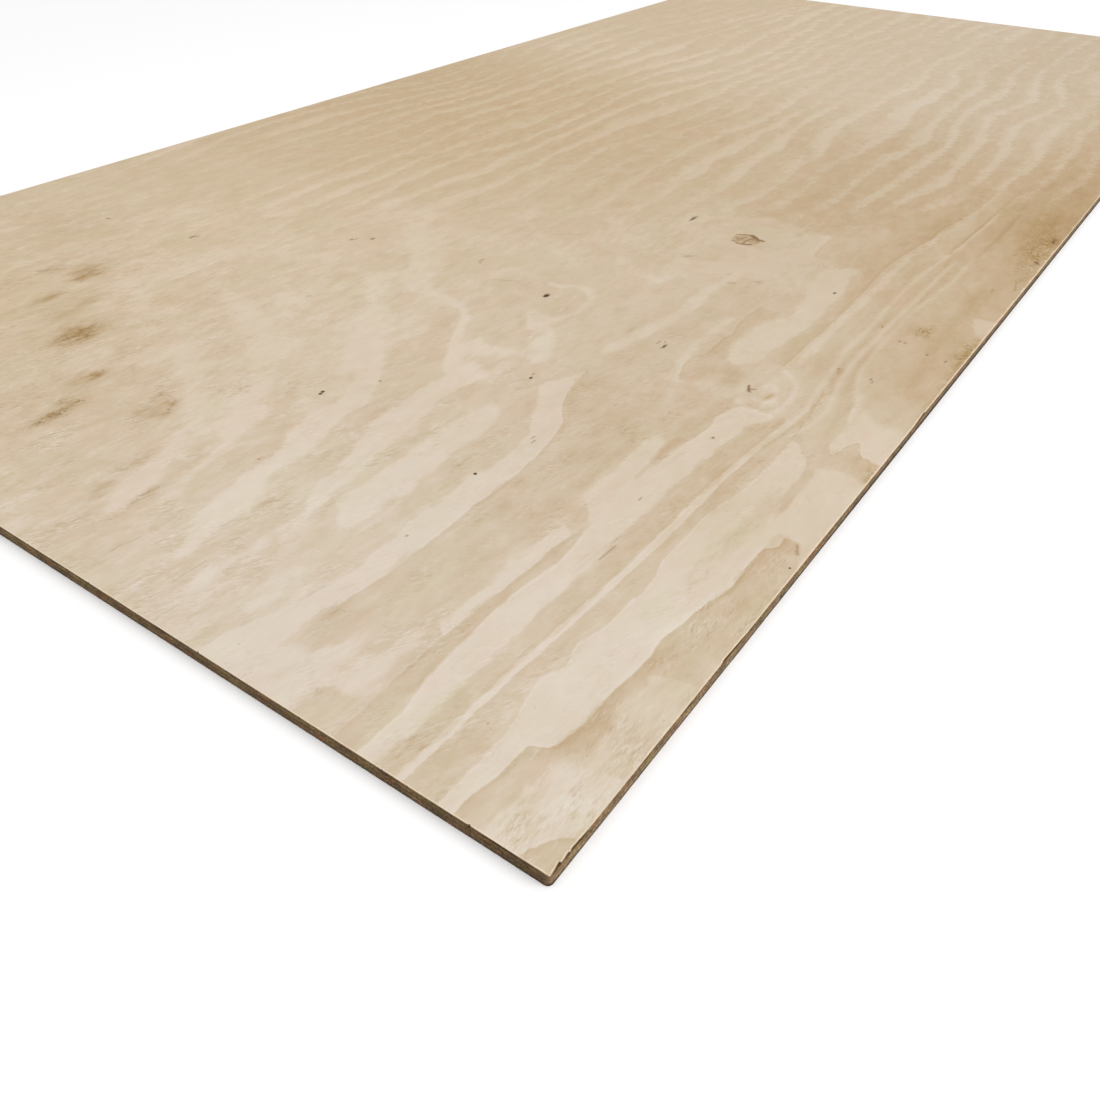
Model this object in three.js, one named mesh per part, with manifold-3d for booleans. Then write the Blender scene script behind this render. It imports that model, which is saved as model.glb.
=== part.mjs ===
// A 4 ft x 8 ft sheet of 12 mm (15/32 in) four-ply pine sheathing plywood, lying flat.
//
// Millimetres, +Z up. The origin is under the middle of the sheet. +Y runs along the 8 ft length,
// which is the grain of the face and back veneers, and +X runs along the 4 ft width, which is the
// grain of the two core plies between them.
//
// The panel is four rotary-peeled veneers pressed face to face and sawn to size together, so every
// ply is a plate of its own with the same outline. What tells them apart is at their borders:
//  - the saw breaks slivers out of the face and back veneers, along their grain;
//  - each core ply is laid up from strips, whose butt joints gape at the long edges;
//  - here and there the face veneer has let go of the core, which leaves a slit under it;
//  - one corner has been set down hard, which crushed it round, most at the bottom.

import * as THREE from 'three';
import { mergeVertices } from 'three/addons/utils/BufferGeometryUtils.js';
import Module from 'manifold-3d';

// ---------------------------------------------------------------- driving dimensions

// The sheet
const SHEET_LENGTH = 2438; // 8 ft, +Y
const SHEET_WIDTH = 1219; // 4 ft, +X

// The lay-up, from the bottom up
const BACK_VENEER_THICKNESS = 2.4;
const LOWER_CORE_THICKNESS = 3.55;
const UPPER_CORE_THICKNESS = 3.55;
const FACE_VENEER_THICKNESS = 2.4;

// Corners: three are as the saw left them, the one at +X -Y is crushed
const SAWN_CORNER_RADIUS = 0.6;
const CRUSHED_RADIUS_BOTTOM = 4.0;
const CRUSHED_RADIUS_TOP = 0.8;

// Butt joints between the strips of a core ply, open at the long edges and closed further in
const CORE_STRIP_WIDTH = 812; // along the sheet, from one joint to the next
const UPPER_JOINT_START = 560; // first joint of the upper core ply, from the -Y end
const LOWER_JOINT_START = 290; // first joint of the lower core ply, so that the joints are staggered
const CORE_GAP_WIDTH = 2.2;
const CORE_GAP_REACH = 60;

// Slits where the face veneer has let go of the core: half lenses in its underside, open at the border
const SLIT_HEIGHT = 1.3;
const SLIT_REACH = 9;
const SIDE_SLITS = [
  { start: 20, length: 19 }, // from the crushed corner, along the +X edge
  { start: 92, length: 15 },
  { start: 143, length: 17 },
  { start: 164, length: 11 },
  { start: 199, length: 36 },
  { start: 503, length: 18 },
  { start: 532, length: 14 },
  { start: 571, length: 23 },
];
const END_SLITS = [
  { start: 20, length: 30 }, // from the crushed corner, along the -Y end
  { start: 317, length: 24 },
];

// Slivers broken out of the face veneer along the +X edge, measured from the crushed corner. A sliver's
// heel is its deepest place, as a part of its length.
const SLIVERS = [
  { start: 0.9, length: 10.3, depth: 1.5, heel: 0.94 },
  { start: 11.4, length: 8, depth: 0.8, heel: 0.9 },
  { start: 20, length: 19, depth: 0.7, heel: 0.1 },
  { start: 196, length: 40, depth: 0.8, heel: 0.12 },
  { start: 566, length: 33, depth: 1.0, heel: 0.9 },
];

// Tear-out at the two ends, where the saw crosses the grain of the face and back veneers
const NICK_PITCH = 37; // one nick in each stretch of this length
const NICK_WIDTH_MIN = 1.2;
const NICK_WIDTH_MAX = 5.0;
const NICK_DEPTH_MIN = 0.2;
const NICK_DEPTH_MAX = 1.1;

// How far a cutting shape stands clear of the face it enters through
const CUT_CLEARANCE = 1;
const ROUND_SEGMENTS = 12; // facets in a quarter turn

// ---------------------------------------------------------------- values that follow

const HALF_WIDTH = SHEET_WIDTH / 2;
const HALF_LENGTH = SHEET_LENGTH / 2;
const LOWER_CORE_Z = BACK_VENEER_THICKNESS;
const UPPER_CORE_Z = LOWER_CORE_Z + LOWER_CORE_THICKNESS;
const FACE_VENEER_Z = UPPER_CORE_Z + UPPER_CORE_THICKNESS;
const SHEET_THICKNESS = FACE_VENEER_Z + FACE_VENEER_THICKNESS;

// ---------------------------------------------------------------- solids

const wasm = await Module();
wasm.setup();

/** A closed three.js geometry as a Manifold solid. */
function solidOf(geometry) {
  geometry.deleteAttribute('normal');
  geometry.deleteAttribute('uv');
  const merged = mergeVertices(geometry);
  return new wasm.Manifold(
    new wasm.Mesh({
      numProp: 3,
      vertProperties: new Float32Array(merged.attributes.position.array),
      triVerts: new Uint32Array(merged.index.array),
    }),
  );
}

/** A Manifold solid as a named three.js mesh. */
function meshOf(name, solid, material) {
  const { vertProperties, triVerts } = solid.getMesh();
  const geometry = new THREE.BufferGeometry();
  geometry.setAttribute('position', new THREE.BufferAttribute(vertProperties, 3));
  geometry.setIndex(new THREE.BufferAttribute(triVerts, 1));
  const flat = geometry.toNonIndexed();
  flat.computeVertexNormals();
  const mesh = new THREE.Mesh(flat, material);
  mesh.name = name;
  return mesh;
}

/** The prism over an outline in the XY plane, from height z up to z + height. */
function prism(points, z, height) {
  const geometry = new THREE.ExtrudeGeometry(new THREE.Shape(points), {
    depth: height,
    bevelEnabled: false,
  });
  return solidOf(geometry.translate(0, 0, z));
}

/** The sawn plate of one ply: a rectangle with its corners just off sharp. */
function sawnPlate(z, thickness) {
  const shape = new THREE.Shape();
  const r = SAWN_CORNER_RADIUS;
  shape.moveTo(-HALF_WIDTH, -HALF_LENGTH + r);
  shape.absarc(-HALF_WIDTH + r, -HALF_LENGTH + r, r, Math.PI, 1.5 * Math.PI);
  shape.absarc(HALF_WIDTH - r, -HALF_LENGTH + r, r, 1.5 * Math.PI, 2 * Math.PI);
  shape.absarc(HALF_WIDTH - r, HALF_LENGTH - r, r, 0, 0.5 * Math.PI);
  shape.absarc(-HALF_WIDTH + r, HALF_LENGTH - r, r, 0.5 * Math.PI, Math.PI);
  const geometry = new THREE.ExtrudeGeometry(shape, {
    depth: thickness,
    bevelEnabled: false,
    curveSegments: ROUND_SEGMENTS,
  });
  return solidOf(geometry.translate(0, 0, z));
}

/** What the knock took off the +X -Y corner: a spandrel that shrinks towards the corner as it rises. */
function crushedCorner() {
  const r = CRUSHED_RADIUS_BOTTOM;
  const spandrel = new THREE.Shape();
  spandrel.moveTo(-r, -CUT_CLEARANCE);
  spandrel.lineTo(CUT_CLEARANCE, -CUT_CLEARANCE);
  spandrel.lineTo(CUT_CLEARANCE, r);
  spandrel.lineTo(0, r);
  spandrel.absarc(-r, r, r, 0, -Math.PI / 2, true);
  const geometry = new THREE.ExtrudeGeometry(spandrel, {
    depth: SHEET_THICKNESS + 2 * CUT_CLEARANCE,
    bevelEnabled: false,
    curveSegments: ROUND_SEGMENTS,
  });
  geometry.translate(0, 0, -CUT_CLEARANCE);
  const { position } = geometry.attributes;
  for (let i = 0; i < position.count; i++) {
    const rise = position.getZ(i) / SHEET_THICKNESS;
    const scale = THREE.MathUtils.lerp(r, CRUSHED_RADIUS_TOP, rise) / r;
    position.setXY(i, position.getX(i) * scale, position.getY(i) * scale);
  }
  return solidOf(geometry.translate(HALF_WIDTH, -HALF_LENGTH, 0));
}

/** A repeatable fraction from 0 to 1 for the nth of a row of like details. */
function scatter(n, row) {
  const value = Math.sin(n * 12.9898 + row * 78.233) * 43758.5453;
  return value - Math.floor(value);
}

/** Tear-out along one end of a veneer: pointed nicks that run in along the grain. */
function endNicks(end, z, thickness, row) {
  const nicks = [];
  const count = Math.floor(SHEET_WIDTH / NICK_PITCH);
  const outside = end * (HALF_LENGTH + CUT_CLEARANCE);
  for (let n = 0; n < count; n++) {
    const width = THREE.MathUtils.lerp(NICK_WIDTH_MIN, NICK_WIDTH_MAX, scatter(n, row));
    const depth = THREE.MathUtils.lerp(NICK_DEPTH_MIN, NICK_DEPTH_MAX, scatter(n, row + 1) ** 2);
    const room = NICK_PITCH - width - 2 * CUT_CLEARANCE;
    const left = -HALF_WIDTH + n * NICK_PITCH + CUT_CLEARANCE + room * scatter(n, row + 2);
    const tip = left + width * scatter(n, row + 3);
    const outline = [
      new THREE.Vector2(left, outside),
      new THREE.Vector2(tip, end * (HALF_LENGTH - depth)),
      new THREE.Vector2(left + width, outside),
    ];
    nicks.push(prism(outline, z - CUT_CLEARANCE, thickness + 2 * CUT_CLEARANCE));
  }
  return nicks;
}

/** A sliver gone from the face veneer at the +X edge, torn in from both its ends to its heel. */
function sliver({ start, length, depth, heel }) {
  const y = start - HALF_LENGTH;
  const outside = HALF_WIDTH + CUT_CLEARANCE;
  const outline = [
    new THREE.Vector2(outside, y),
    new THREE.Vector2(outside, y + length),
    new THREE.Vector2(HALF_WIDTH, y + length),
    new THREE.Vector2(HALF_WIDTH - depth, y + length * heel),
    new THREE.Vector2(HALF_WIDTH, y),
  ];
  return prism(outline, FACE_VENEER_Z - CUT_CLEARANCE, FACE_VENEER_THICKNESS + 2 * CUT_CLEARANCE);
}

/** A slit in the underside of the face veneer: a lens of the given half-sizes, middled on the border. */
function slit(halfX, halfY, x, y) {
  const lens = new THREE.SphereGeometry(1, 2 * ROUND_SEGMENTS, ROUND_SEGMENTS);
  lens.rotateX(Math.PI / 2).scale(halfX, halfY, SLIT_HEIGHT);
  return solidOf(lens.translate(x, y, FACE_VENEER_Z));
}

function sideSlit({ start, length }) {
  return slit(SLIT_REACH, length / 2, HALF_WIDTH, start + length / 2 - HALF_LENGTH);
}

function endSlit({ start, length }) {
  return slit(length / 2, SLIT_REACH, HALF_WIDTH - start - length / 2, -HALF_LENGTH);
}

/** The gaping ends of a core ply's butt joints: thin wedges in from both long edges. */
function coreGaps(firstJoint, z, thickness) {
  const gaps = [];
  for (let joint = firstJoint; joint < SHEET_LENGTH - CORE_GAP_WIDTH; joint += CORE_STRIP_WIDTH) {
    for (const side of [-1, 1]) {
      const y = joint - HALF_LENGTH;
      const halfMouth = CORE_GAP_WIDTH / 2;
      const outside = side * (HALF_WIDTH + CUT_CLEARANCE);
      const outline = [
        new THREE.Vector2(outside, y - halfMouth),
        new THREE.Vector2(side * HALF_WIDTH, y - halfMouth),
        new THREE.Vector2(side * (HALF_WIDTH - CORE_GAP_REACH), y),
        new THREE.Vector2(side * HALF_WIDTH, y + halfMouth),
        new THREE.Vector2(outside, y + halfMouth),
      ];
      gaps.push(prism(outline, z - CUT_CLEARANCE, thickness + 2 * CUT_CLEARANCE));
    }
  }
  return gaps;
}

// ---------------------------------------------------------------- the plies

const knock = crushedCorner();

/** One ply: its sawn plate less the crushed corner and the cuts that are its own. */
function ply(z, thickness, cuts) {
  return [knock, ...cuts].reduce((solid, cut) => solid.subtract(cut), sawnPlate(z, thickness));
}

function faceVeneer() {
  const z = FACE_VENEER_Z;
  const t = FACE_VENEER_THICKNESS;
  return ply(z, t, [
    ...endNicks(-1, z, t, 10),
    ...endNicks(1, z, t, 20),
    ...SLIVERS.map(sliver),
    ...SIDE_SLITS.map(sideSlit),
    ...END_SLITS.map(endSlit),
  ]);
}

function upperCorePly() {
  const z = UPPER_CORE_Z;
  const t = UPPER_CORE_THICKNESS;
  return ply(z, t, coreGaps(UPPER_JOINT_START, z, t));
}

function lowerCorePly() {
  const z = LOWER_CORE_Z;
  const t = LOWER_CORE_THICKNESS;
  return ply(z, t, coreGaps(LOWER_JOINT_START, z, t));
}

function backVeneer() {
  const t = BACK_VENEER_THICKNESS;
  return ply(0, t, [...endNicks(-1, 0, t, 30), ...endNicks(1, 0, t, 40)]);
}

// ---------------------------------------------------------------- materials

const wood = (color, roughness) => new THREE.MeshStandardMaterial({ color, roughness, metalness: 0 });
const faceWood = wood(0xd8c4aa, 0.72);
const upperCoreWood = wood(0x927a59, 0.88);
const lowerCoreWood = wood(0x9a8263, 0.88);
const backWood = wood(0xb59c7c, 0.8);

// ---------------------------------------------------------------- the sheet

const sheet = new THREE.Group();
sheet.name = 'plywood_sheet';
sheet.add(meshOf('back_veneer', backVeneer(), backWood));
sheet.add(meshOf('lower_core_ply', lowerCorePly(), lowerCoreWood));
sheet.add(meshOf('upper_core_ply', upperCorePly(), upperCoreWood));
sheet.add(meshOf('face_veneer', faceVeneer(), faceWood));

export default sheet;
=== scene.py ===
"""A sheet of four-ply pine sheathing plywood, lying on a pale floor and seen over its near corner.

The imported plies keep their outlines, notches and slits. Each is dressed with a finer mesh of the same shape,
whose sawn walls are rough. The face also carries, as values on its points, what the peeled log drew on it:
latewood bands, ridges, knots, pins and stains. Node materials turn those values into wood.

Blender units are metres. Places on the face are in millimetres from its near corner, as (across, along):
across the sheet from its +X edge, and along it from its -Y end.
"""

import math

import bmesh
import bpy
import numpy as np
from mathutils import Matrix, Vector, noise
from mathutils.geometry import delaunay_2d_cdt


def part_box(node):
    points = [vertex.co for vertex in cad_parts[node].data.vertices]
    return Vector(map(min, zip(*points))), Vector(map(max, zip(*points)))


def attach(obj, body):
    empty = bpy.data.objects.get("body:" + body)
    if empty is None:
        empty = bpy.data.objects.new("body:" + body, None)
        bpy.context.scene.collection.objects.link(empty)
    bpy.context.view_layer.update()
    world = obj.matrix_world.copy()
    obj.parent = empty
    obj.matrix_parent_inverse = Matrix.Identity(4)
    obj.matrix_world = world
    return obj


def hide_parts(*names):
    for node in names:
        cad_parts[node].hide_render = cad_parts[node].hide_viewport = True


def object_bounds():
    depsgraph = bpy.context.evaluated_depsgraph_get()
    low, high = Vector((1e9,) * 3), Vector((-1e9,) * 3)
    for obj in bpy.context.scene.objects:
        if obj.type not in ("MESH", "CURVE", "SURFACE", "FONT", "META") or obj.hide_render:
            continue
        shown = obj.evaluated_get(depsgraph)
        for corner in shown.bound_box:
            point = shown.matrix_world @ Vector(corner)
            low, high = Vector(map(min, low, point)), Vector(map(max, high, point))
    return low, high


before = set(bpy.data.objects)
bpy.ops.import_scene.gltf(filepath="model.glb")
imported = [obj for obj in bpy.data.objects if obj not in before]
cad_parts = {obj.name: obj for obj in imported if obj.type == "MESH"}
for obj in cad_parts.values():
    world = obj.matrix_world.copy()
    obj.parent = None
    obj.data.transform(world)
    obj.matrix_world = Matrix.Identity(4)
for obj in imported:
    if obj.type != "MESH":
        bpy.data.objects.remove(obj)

CAD_LOW, CAD_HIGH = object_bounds()
MM = 0.001
WIDTH = (CAD_HIGH.x - CAD_LOW.x) / MM
LENGTH = (CAD_HIGH.y - CAD_LOW.y) / MM

# ---------------------------------------------------------------- node graphs

SEEN_RAYS = ("Camera", "Glossy", "Transmission")


class Value:
    """A number, place, colour or shader in a node tree. Working with it adds nodes to the tree."""

    def __init__(self, graph, socket):
        self.graph = graph
        self.socket = socket

    def math(self, operation, *others):
        return self.graph.made("ShaderNodeMath", self, *others, operation=operation)

    def __add__(self, other):
        return self.math("ADD", other)

    def __radd__(self, number):
        return self.graph.made("ShaderNodeMath", number, self, operation="ADD")

    def __sub__(self, number):
        return self + -number

    def __mul__(self, other):
        return self.math("MULTIPLY", other)

    def fit(self, from_low, from_high, to_low=0.0, to_high=1.0, way="LINEAR"):
        """Maps one range onto another, held at its ends."""
        ranges = (from_low, from_high, to_low, to_high)
        return self.graph.made("ShaderNodeMapRange", self, *ranges, interpolation_type=way)

    def step(self, low, high):
        """0 at low and beyond, 1 at high and beyond, smooth between."""
        return self.fit(low, high, way="SMOOTHSTEP")

    def blend(self, other, share):
        """This number with a share of another."""
        return self.graph.made("ShaderNodeMix", share, self, other)

    def mix(self, colour, share, way="MIX"):
        """This colour with a share of another."""
        return self.graph.made("ShaderNodeMix", share, self, colour, data_type="RGBA", blend_type=way)

    def part(self, axis):
        """The X, Y or Z of a place or direction."""
        return self.graph.made("ShaderNodeSeparateXYZ", self, output=axis)

    def turned(self, degrees):
        """A place turned about the vertical."""
        centre, angle = (0, 0, 0), math.radians(degrees)
        return self.graph.made("ShaderNodeVectorRotate", self, centre, angle, rotation_type="Z_AXIS")

    def vector(self, operation, *others):
        return self.graph.made("ShaderNodeVectorMath", self, *others, operation=operation)

    def noise(self, size, detail=2.0, roughness=0.5, twist=0.0, shift=0.0):
        """Noise about 0, rarely past -1 or 1, over places, whose grain has a size in mm, as (x, y, z)."""
        moved = self.vector("ADD", (shift, shift, shift)) if shift else self
        scaled = moved.vector("DIVIDE", tuple(s * MM for s in size))
        ways = dict(Scale=1.0, Detail=detail, Roughness=roughness, Distortion=twist)
        return self.graph.made("ShaderNodeTexNoise", scaled, **ways).math("MULTIPLY_ADD", 4.0, -2.0)

    def ramp(self, stops, reach=None, way="LINEAR"):
        """The colour at this number on a ramp through stops of (number, colour), laid out over a reach."""
        low, high = reach or (stops[0][0], stops[-1][0])
        colour = self.graph.made("ShaderNodeValToRGB", self.fit(low, high))
        ramp = colour.socket.node.color_ramp
        ramp.interpolation = way
        for _ in stops[2:]:
            ramp.elements.new(0.5)
        for element, (at, shade) in zip(ramp.elements, stops):
            element.position = (at - low) / (high - low)
            element.color = shade
        return colour

    def curve(self, stops):
        """A number that follows smoothly through stops of (number, height from -1 to 1)."""
        greys = [(at, (0.5 + height / 2,) * 3 + (1.0,)) for at, height in stops]
        return self.ramp(greys, way="EASE").math("MULTIPLY_ADD", 2.0, -1.0)


class Graph:
    """A node tree, and the values that start in it."""

    def __init__(self, tree):
        self.tree = tree
        tree.nodes.clear()

    def made(self, kind, *values, output=None, **named):
        """What a new node gives, from its first output or a named one.

        Values are linked to its inputs in order, or set there. A name with a capital is an input, with _ for
        spaces, and any other a setting.
        """
        node = self.tree.nodes.new(kind)
        for name, value in named.items():
            if name[0].islower():
                setattr(node, name, value)
        pairs = list(zip([socket for socket in node.inputs if socket.enabled], values))
        pairs += [(node.inputs[name.replace("_", " ")], named[name]) for name in named if name[0].isupper()]
        for socket, value in pairs:
            if isinstance(value, Value):
                self.tree.links.new(value.socket, socket)
            else:
                socket.default_value = value
        outputs = [socket for socket in node.outputs if socket.enabled and output in (None, socket.name)]
        return Value(self, outputs[0]) if outputs else None

    def place(self):
        """The place in the sheet's own frame."""
        return self.made("ShaderNodeTexCoord", output="Object")

    def facing(self, axis):
        """One part of the direction that the surface faces."""
        return self.made("ShaderNodeNewGeometry", output="Normal").part(axis)

    def point_value(self, name):
        """A value that the mesh carries on its points."""
        return self.made("ShaderNodeAttribute", attribute_name=name, output="Fac")

    def seen(self):
        """1 where the eye meets a surface itself, in a reflection or through glass, and 0 for its light."""
        rays = [self.made("ShaderNodeLightPath", output=f"Is {kind} Ray") for kind in SEEN_RAYS]
        return rays[0].math("MAXIMUM", rays[1]).math("MAXIMUM", rays[2])


def new_material(name):
    material = bpy.data.materials.new(name)
    material.use_nodes = True
    return material, Graph(material.node_tree)


def srgb(red, green, blue):
    """A display colour from 0 to 255 as Blender's linear RGBA."""
    levels = [c / 255 for c in (red, green, blue)]
    linear = [c / 12.92 if c <= 0.04045 else ((c + 0.055) / 1.055) ** 2.4 for c in levels]
    return (*linear, 1.0)


# ---------------------------------------------------------------- camera, light and floor

CAMERA_FROM_CORNER = (0.171, -0.2445, 0.464)  # metres from the face's near corner
CAMERA_YAW = 35.24  # degrees, from +Y towards -X
CAMERA_PITCH = 38.77  # degrees below the horizon
CAMERA_ROLL = 0.5
LENS = 32.0
SENSOR = 36.0
SIGHT = 100.0  # how far the camera sees, in metres

WORLD_LIGHT = 0.74
KEY_POWER = 72.0
KEY_SIZE = 3.0
KEY_PLACE = (3.4, -0.6, 2.6)
FLOOR_SIZE = 30.0
FLOOR_GAP = 0.2  # millimetres under the sheet
FLOOR_BOUNCE = 0.30
FLOOR_LIFT = 0.13  # what brings the floor round the sheet to white for the eye alone
FLOOR_FAR_LIFT = 1.0  # and the floor far from it, where the lamp hardly reaches
FLOOR_FAR = (2.5, 6.0)  # metres from the sheet's middle where the one gives way to the other


def placed(name, data):
    """A new object in the scene."""
    made = bpy.data.objects.new(name, data)
    bpy.context.scene.collection.objects.link(made)
    return made


def make_camera():
    """The photograph's view: low over the near corner, with the grain running away to the upper right."""
    data = bpy.data.cameras.new("camera")
    data.lens = LENS
    data.sensor_width = SENSOR
    data.clip_end = SIGHT
    camera = placed("camera", data)
    corner = Vector((CAD_HIGH.x, CAD_LOW.y, CAD_HIGH.z))
    turns = ((CAMERA_YAW, "Z"), (90 - CAMERA_PITCH, "X"), (CAMERA_ROLL, "Z"))
    yaw, pitch, roll = (Matrix.Rotation(math.radians(turn), 4, axis) for turn, axis in turns)
    camera.matrix_world = Matrix.Translation(corner + Vector(CAMERA_FROM_CORNER)) @ (yaw @ pitch @ roll)
    bpy.context.scene.camera = camera


def make_light():
    """An even white surround, and one large soft lamp on the side of the long edge."""
    world = bpy.data.worlds.new("surround")
    world.use_nodes = True
    graph = Graph(world.node_tree)
    strength = graph.seen().fit(0, 1, WORLD_LIGHT, 1.0)
    surround = graph.made("ShaderNodeBackground", Color=(1, 1, 1, 1), Strength=strength)
    graph.made("ShaderNodeOutputWorld", Surface=surround)
    bpy.context.scene.world = world

    data = bpy.data.lights.new("key", "AREA")
    data.shape = "DISK"
    data.size = KEY_SIZE
    data.energy = KEY_POWER
    key = placed("key", data)
    key.location = KEY_PLACE
    key.rotation_euler = (-Vector(KEY_PLACE)).to_track_quat("-Z", "Y").to_euler()


def make_floor():
    """A plain floor, white to the camera and greyer to everything else, that keeps the sheet's shadow."""
    half = FLOOR_SIZE / 2
    mesh = bpy.data.meshes.new("floor")
    corners = [(-half, -half, 0), (half, -half, 0), (half, half, 0), (-half, half, 0)]
    mesh.from_pydata(corners, [], [(0, 1, 2, 3)])
    floor = placed("floor", mesh)
    floor.location.z = CAD_LOW.z - FLOOR_GAP * MM

    material, graph = new_material("floor")
    seen = graph.seen()
    level = seen.fit(0, 1, FLOOR_BOUNCE, 1.0)
    colour = graph.made("ShaderNodeCombineColor", level, level, level)
    away = graph.place().vector("LENGTH")
    lift = seen * away.fit(*FLOOR_FAR, FLOOR_LIFT, FLOOR_FAR_LIFT)
    diffuse = graph.made("ShaderNodeBsdfDiffuse", Color=colour)
    glow = graph.made("ShaderNodeEmission", Strength=lift)
    graph.made("ShaderNodeOutputMaterial", Surface=graph.made("ShaderNodeAddShader", diffuse, glow))
    mesh.materials.append(material)


# ---------------------------------------------------------------- what the face shows
#
# Points are (across, along). Tone is 0 for the palest springwood, 0.5 for middling wood and 1 for tan
# latewood; it drifts darker along the sheet, and the tones below are on top of that drift.

# A latewood band lies between two lines that run along the sheet. It starts crisply at its sharp line, where
# the tone is "tone", and thins out towards its fading line: over "depth" millimetres down to "tail" of the
# tone, and away altogether over the last "soft" millimetres. It runs out over "ends" millimetres at an end.
LATEWOOD = [
    dict(  # the broad band that runs out at the long edge
        sharp=[(68, 0), (66, 28), (63.5, 36), (63, 60), (60.5, 67), (55.5, 69), (50, 75), (47.5, 85),
            (45, 132), (42, 175), (44, 196), (42, 206), (39, 232), (31, 268), (32, 317), (30.5, 326),
            (26, 330), (26, 346)],
        fading=[(49, 0), (42, 48), (39, 72), (34, 80), (33, 110), (31, 150), (20, 165), (-14, 172),
            (-14, 262), (-3, 275), (13, 346)],
        soft=3.5, depth=15, tail=0.55, tone=1.15,
    ),
    dict(  # the patch on the corner
        sharp=[(22, 0), (10, 22), (3, 28)],
        fading=[(-10, 0), (-10, 28)],
        soft=3, depth=30, tail=0.8, tone=0.9,
    ),
    dict(
        sharp=[(106, 0), (105, 96), (102, 170), (98, 356), (99, 393), (97, 422), (96, 453), (92, 479),
            (89, 540), (91, 575)],
        fading=[(80, 0), (81, 70), (89, 117), (84, 133), (89, 156), (84, 175), (82, 206), (82, 246),
            (87, 264), (87, 300), (88, 330), (80, 393), (79, 461), (88, 575)],
        soft=1.4, depth=60, tail=0.9, tone=0.60, ends=20,
    ),
    dict(
        sharp=[(113, 0), (110, 133), (105, 280), (106, 356), (98, 510)],
        fading=[(127, 0), (124, 112), (127, 148), (124, 254), (127, 300), (126, 393), (122, 466),
            (120, 478), (102, 510)],
        soft=3, depth=25, tail=0.85, tone=0.66,
    ),
    dict(
        sharp=[(143, 0), (146, 54), (150, 70), (153, 122), (155, 167), (152, 190), (153, 254), (156, 266)],
        fading=[(164, 0), (167, 80), (162, 201), (158, 262), (157, 266)],
        soft=1.5, depth=60, tail=0.8, tone=0.68,
    ),
    dict(  # the widest band
        sharp=[(242, 70), (246, 90), (243, 133), (243, 201), (245, 227), (244, 254), (257, 372), (262, 387),
            (274, 403), (298, 480)],
        fading=[(222, 70), (200, 90), (180, 105), (177, 140), (176, 250), (184, 310), (181, 350),
            (187, 377), (180, 425), (190, 480)],
        soft=5, depth=50, tail=0.8, tone=0.62, ends=22,
    ),
    dict(  # where it turns across to the next
        sharp=[(155, 414), (149, 453), (153, 474), (146, 500), (140, 510)],
        fading=[(185, 414), (190, 450), (205, 480), (235, 510)],
        soft=9, depth=40, tail=0.8, tone=0.62, ends=4,
    ),
    dict(  # the tooth above the turn
        sharp=[(217, 518), (227, 563), (221, 579), (221, 618), (219, 632), (223, 653), (226, 674),
            (224, 712)],
        fading=[(212, 518), (198, 531), (168, 541), (167, 555), (174, 571), (190, 576), (200, 590),
            (206, 616), (204, 680), (196, 712)],
        soft=3, depth=60, tail=0.85, tone=0.62, ends=6,
    ),
    dict(
        sharp=[(143, 600), (144, 652), (143, 700), (148, 850), (150, 893), (143, 983), (137, 1020),
            (137, 1063), (128, 1113), (122, 1160), (120, 1260)],
        fading=[(159, 600), (165, 616), (163, 642), (157, 708), (159, 747), (163, 850), (175, 947),
            (167, 980), (165, 1020), (170, 1260)],
        soft=4, depth=18, tail=0.7, tone=0.68,
    ),
    dict(
        sharp=[(108, 940), (105, 960), (100, 1053), (94, 1260)],
        fading=[(122, 940), (126, 1000), (128, 1260)],
        soft=6, depth=14, tail=0.5, tone=0.45, ends=12,
    ),
    dict(
        sharp=[(234, 874), (240, 907), (240, 947), (235, 1020)],
        fading=[(214, 874), (198, 930), (182, 960), (175, 1020)],
        soft=12, depth=40, tail=0.6, tone=0.34, ends=8,
    ),
]
CRISP = 0.9  # half the width of a crisp border, in millimetres
ENDS = 1.5
FAR = 9.0  # the most that any distance past a crisp border is counted
BEYOND = 3.0  # how far past its fading line a band's crisp borders still count
RULE = 3.0  # how strongly the band that a point is deepest in rules where bands overlap

# The scalloped foot of the pale wood at the long edge, and the tan patch under it.
SCALLOPS = [(-4, 485), (5, 486), (9, 485), (12, 489), (19, 490), (22, 493), (25, 501), (27, 509), (30, 510),
    (34, 505), (37, 497), (39, 485), (47, 485), (51, 497)]
SCALLOP_DEPTH = 34
SCALLOP_SOFT = 10
SCALLOP_TONE = 0.8
SCALLOP_FALL = 0.3  # how much paler its foot is

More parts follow.
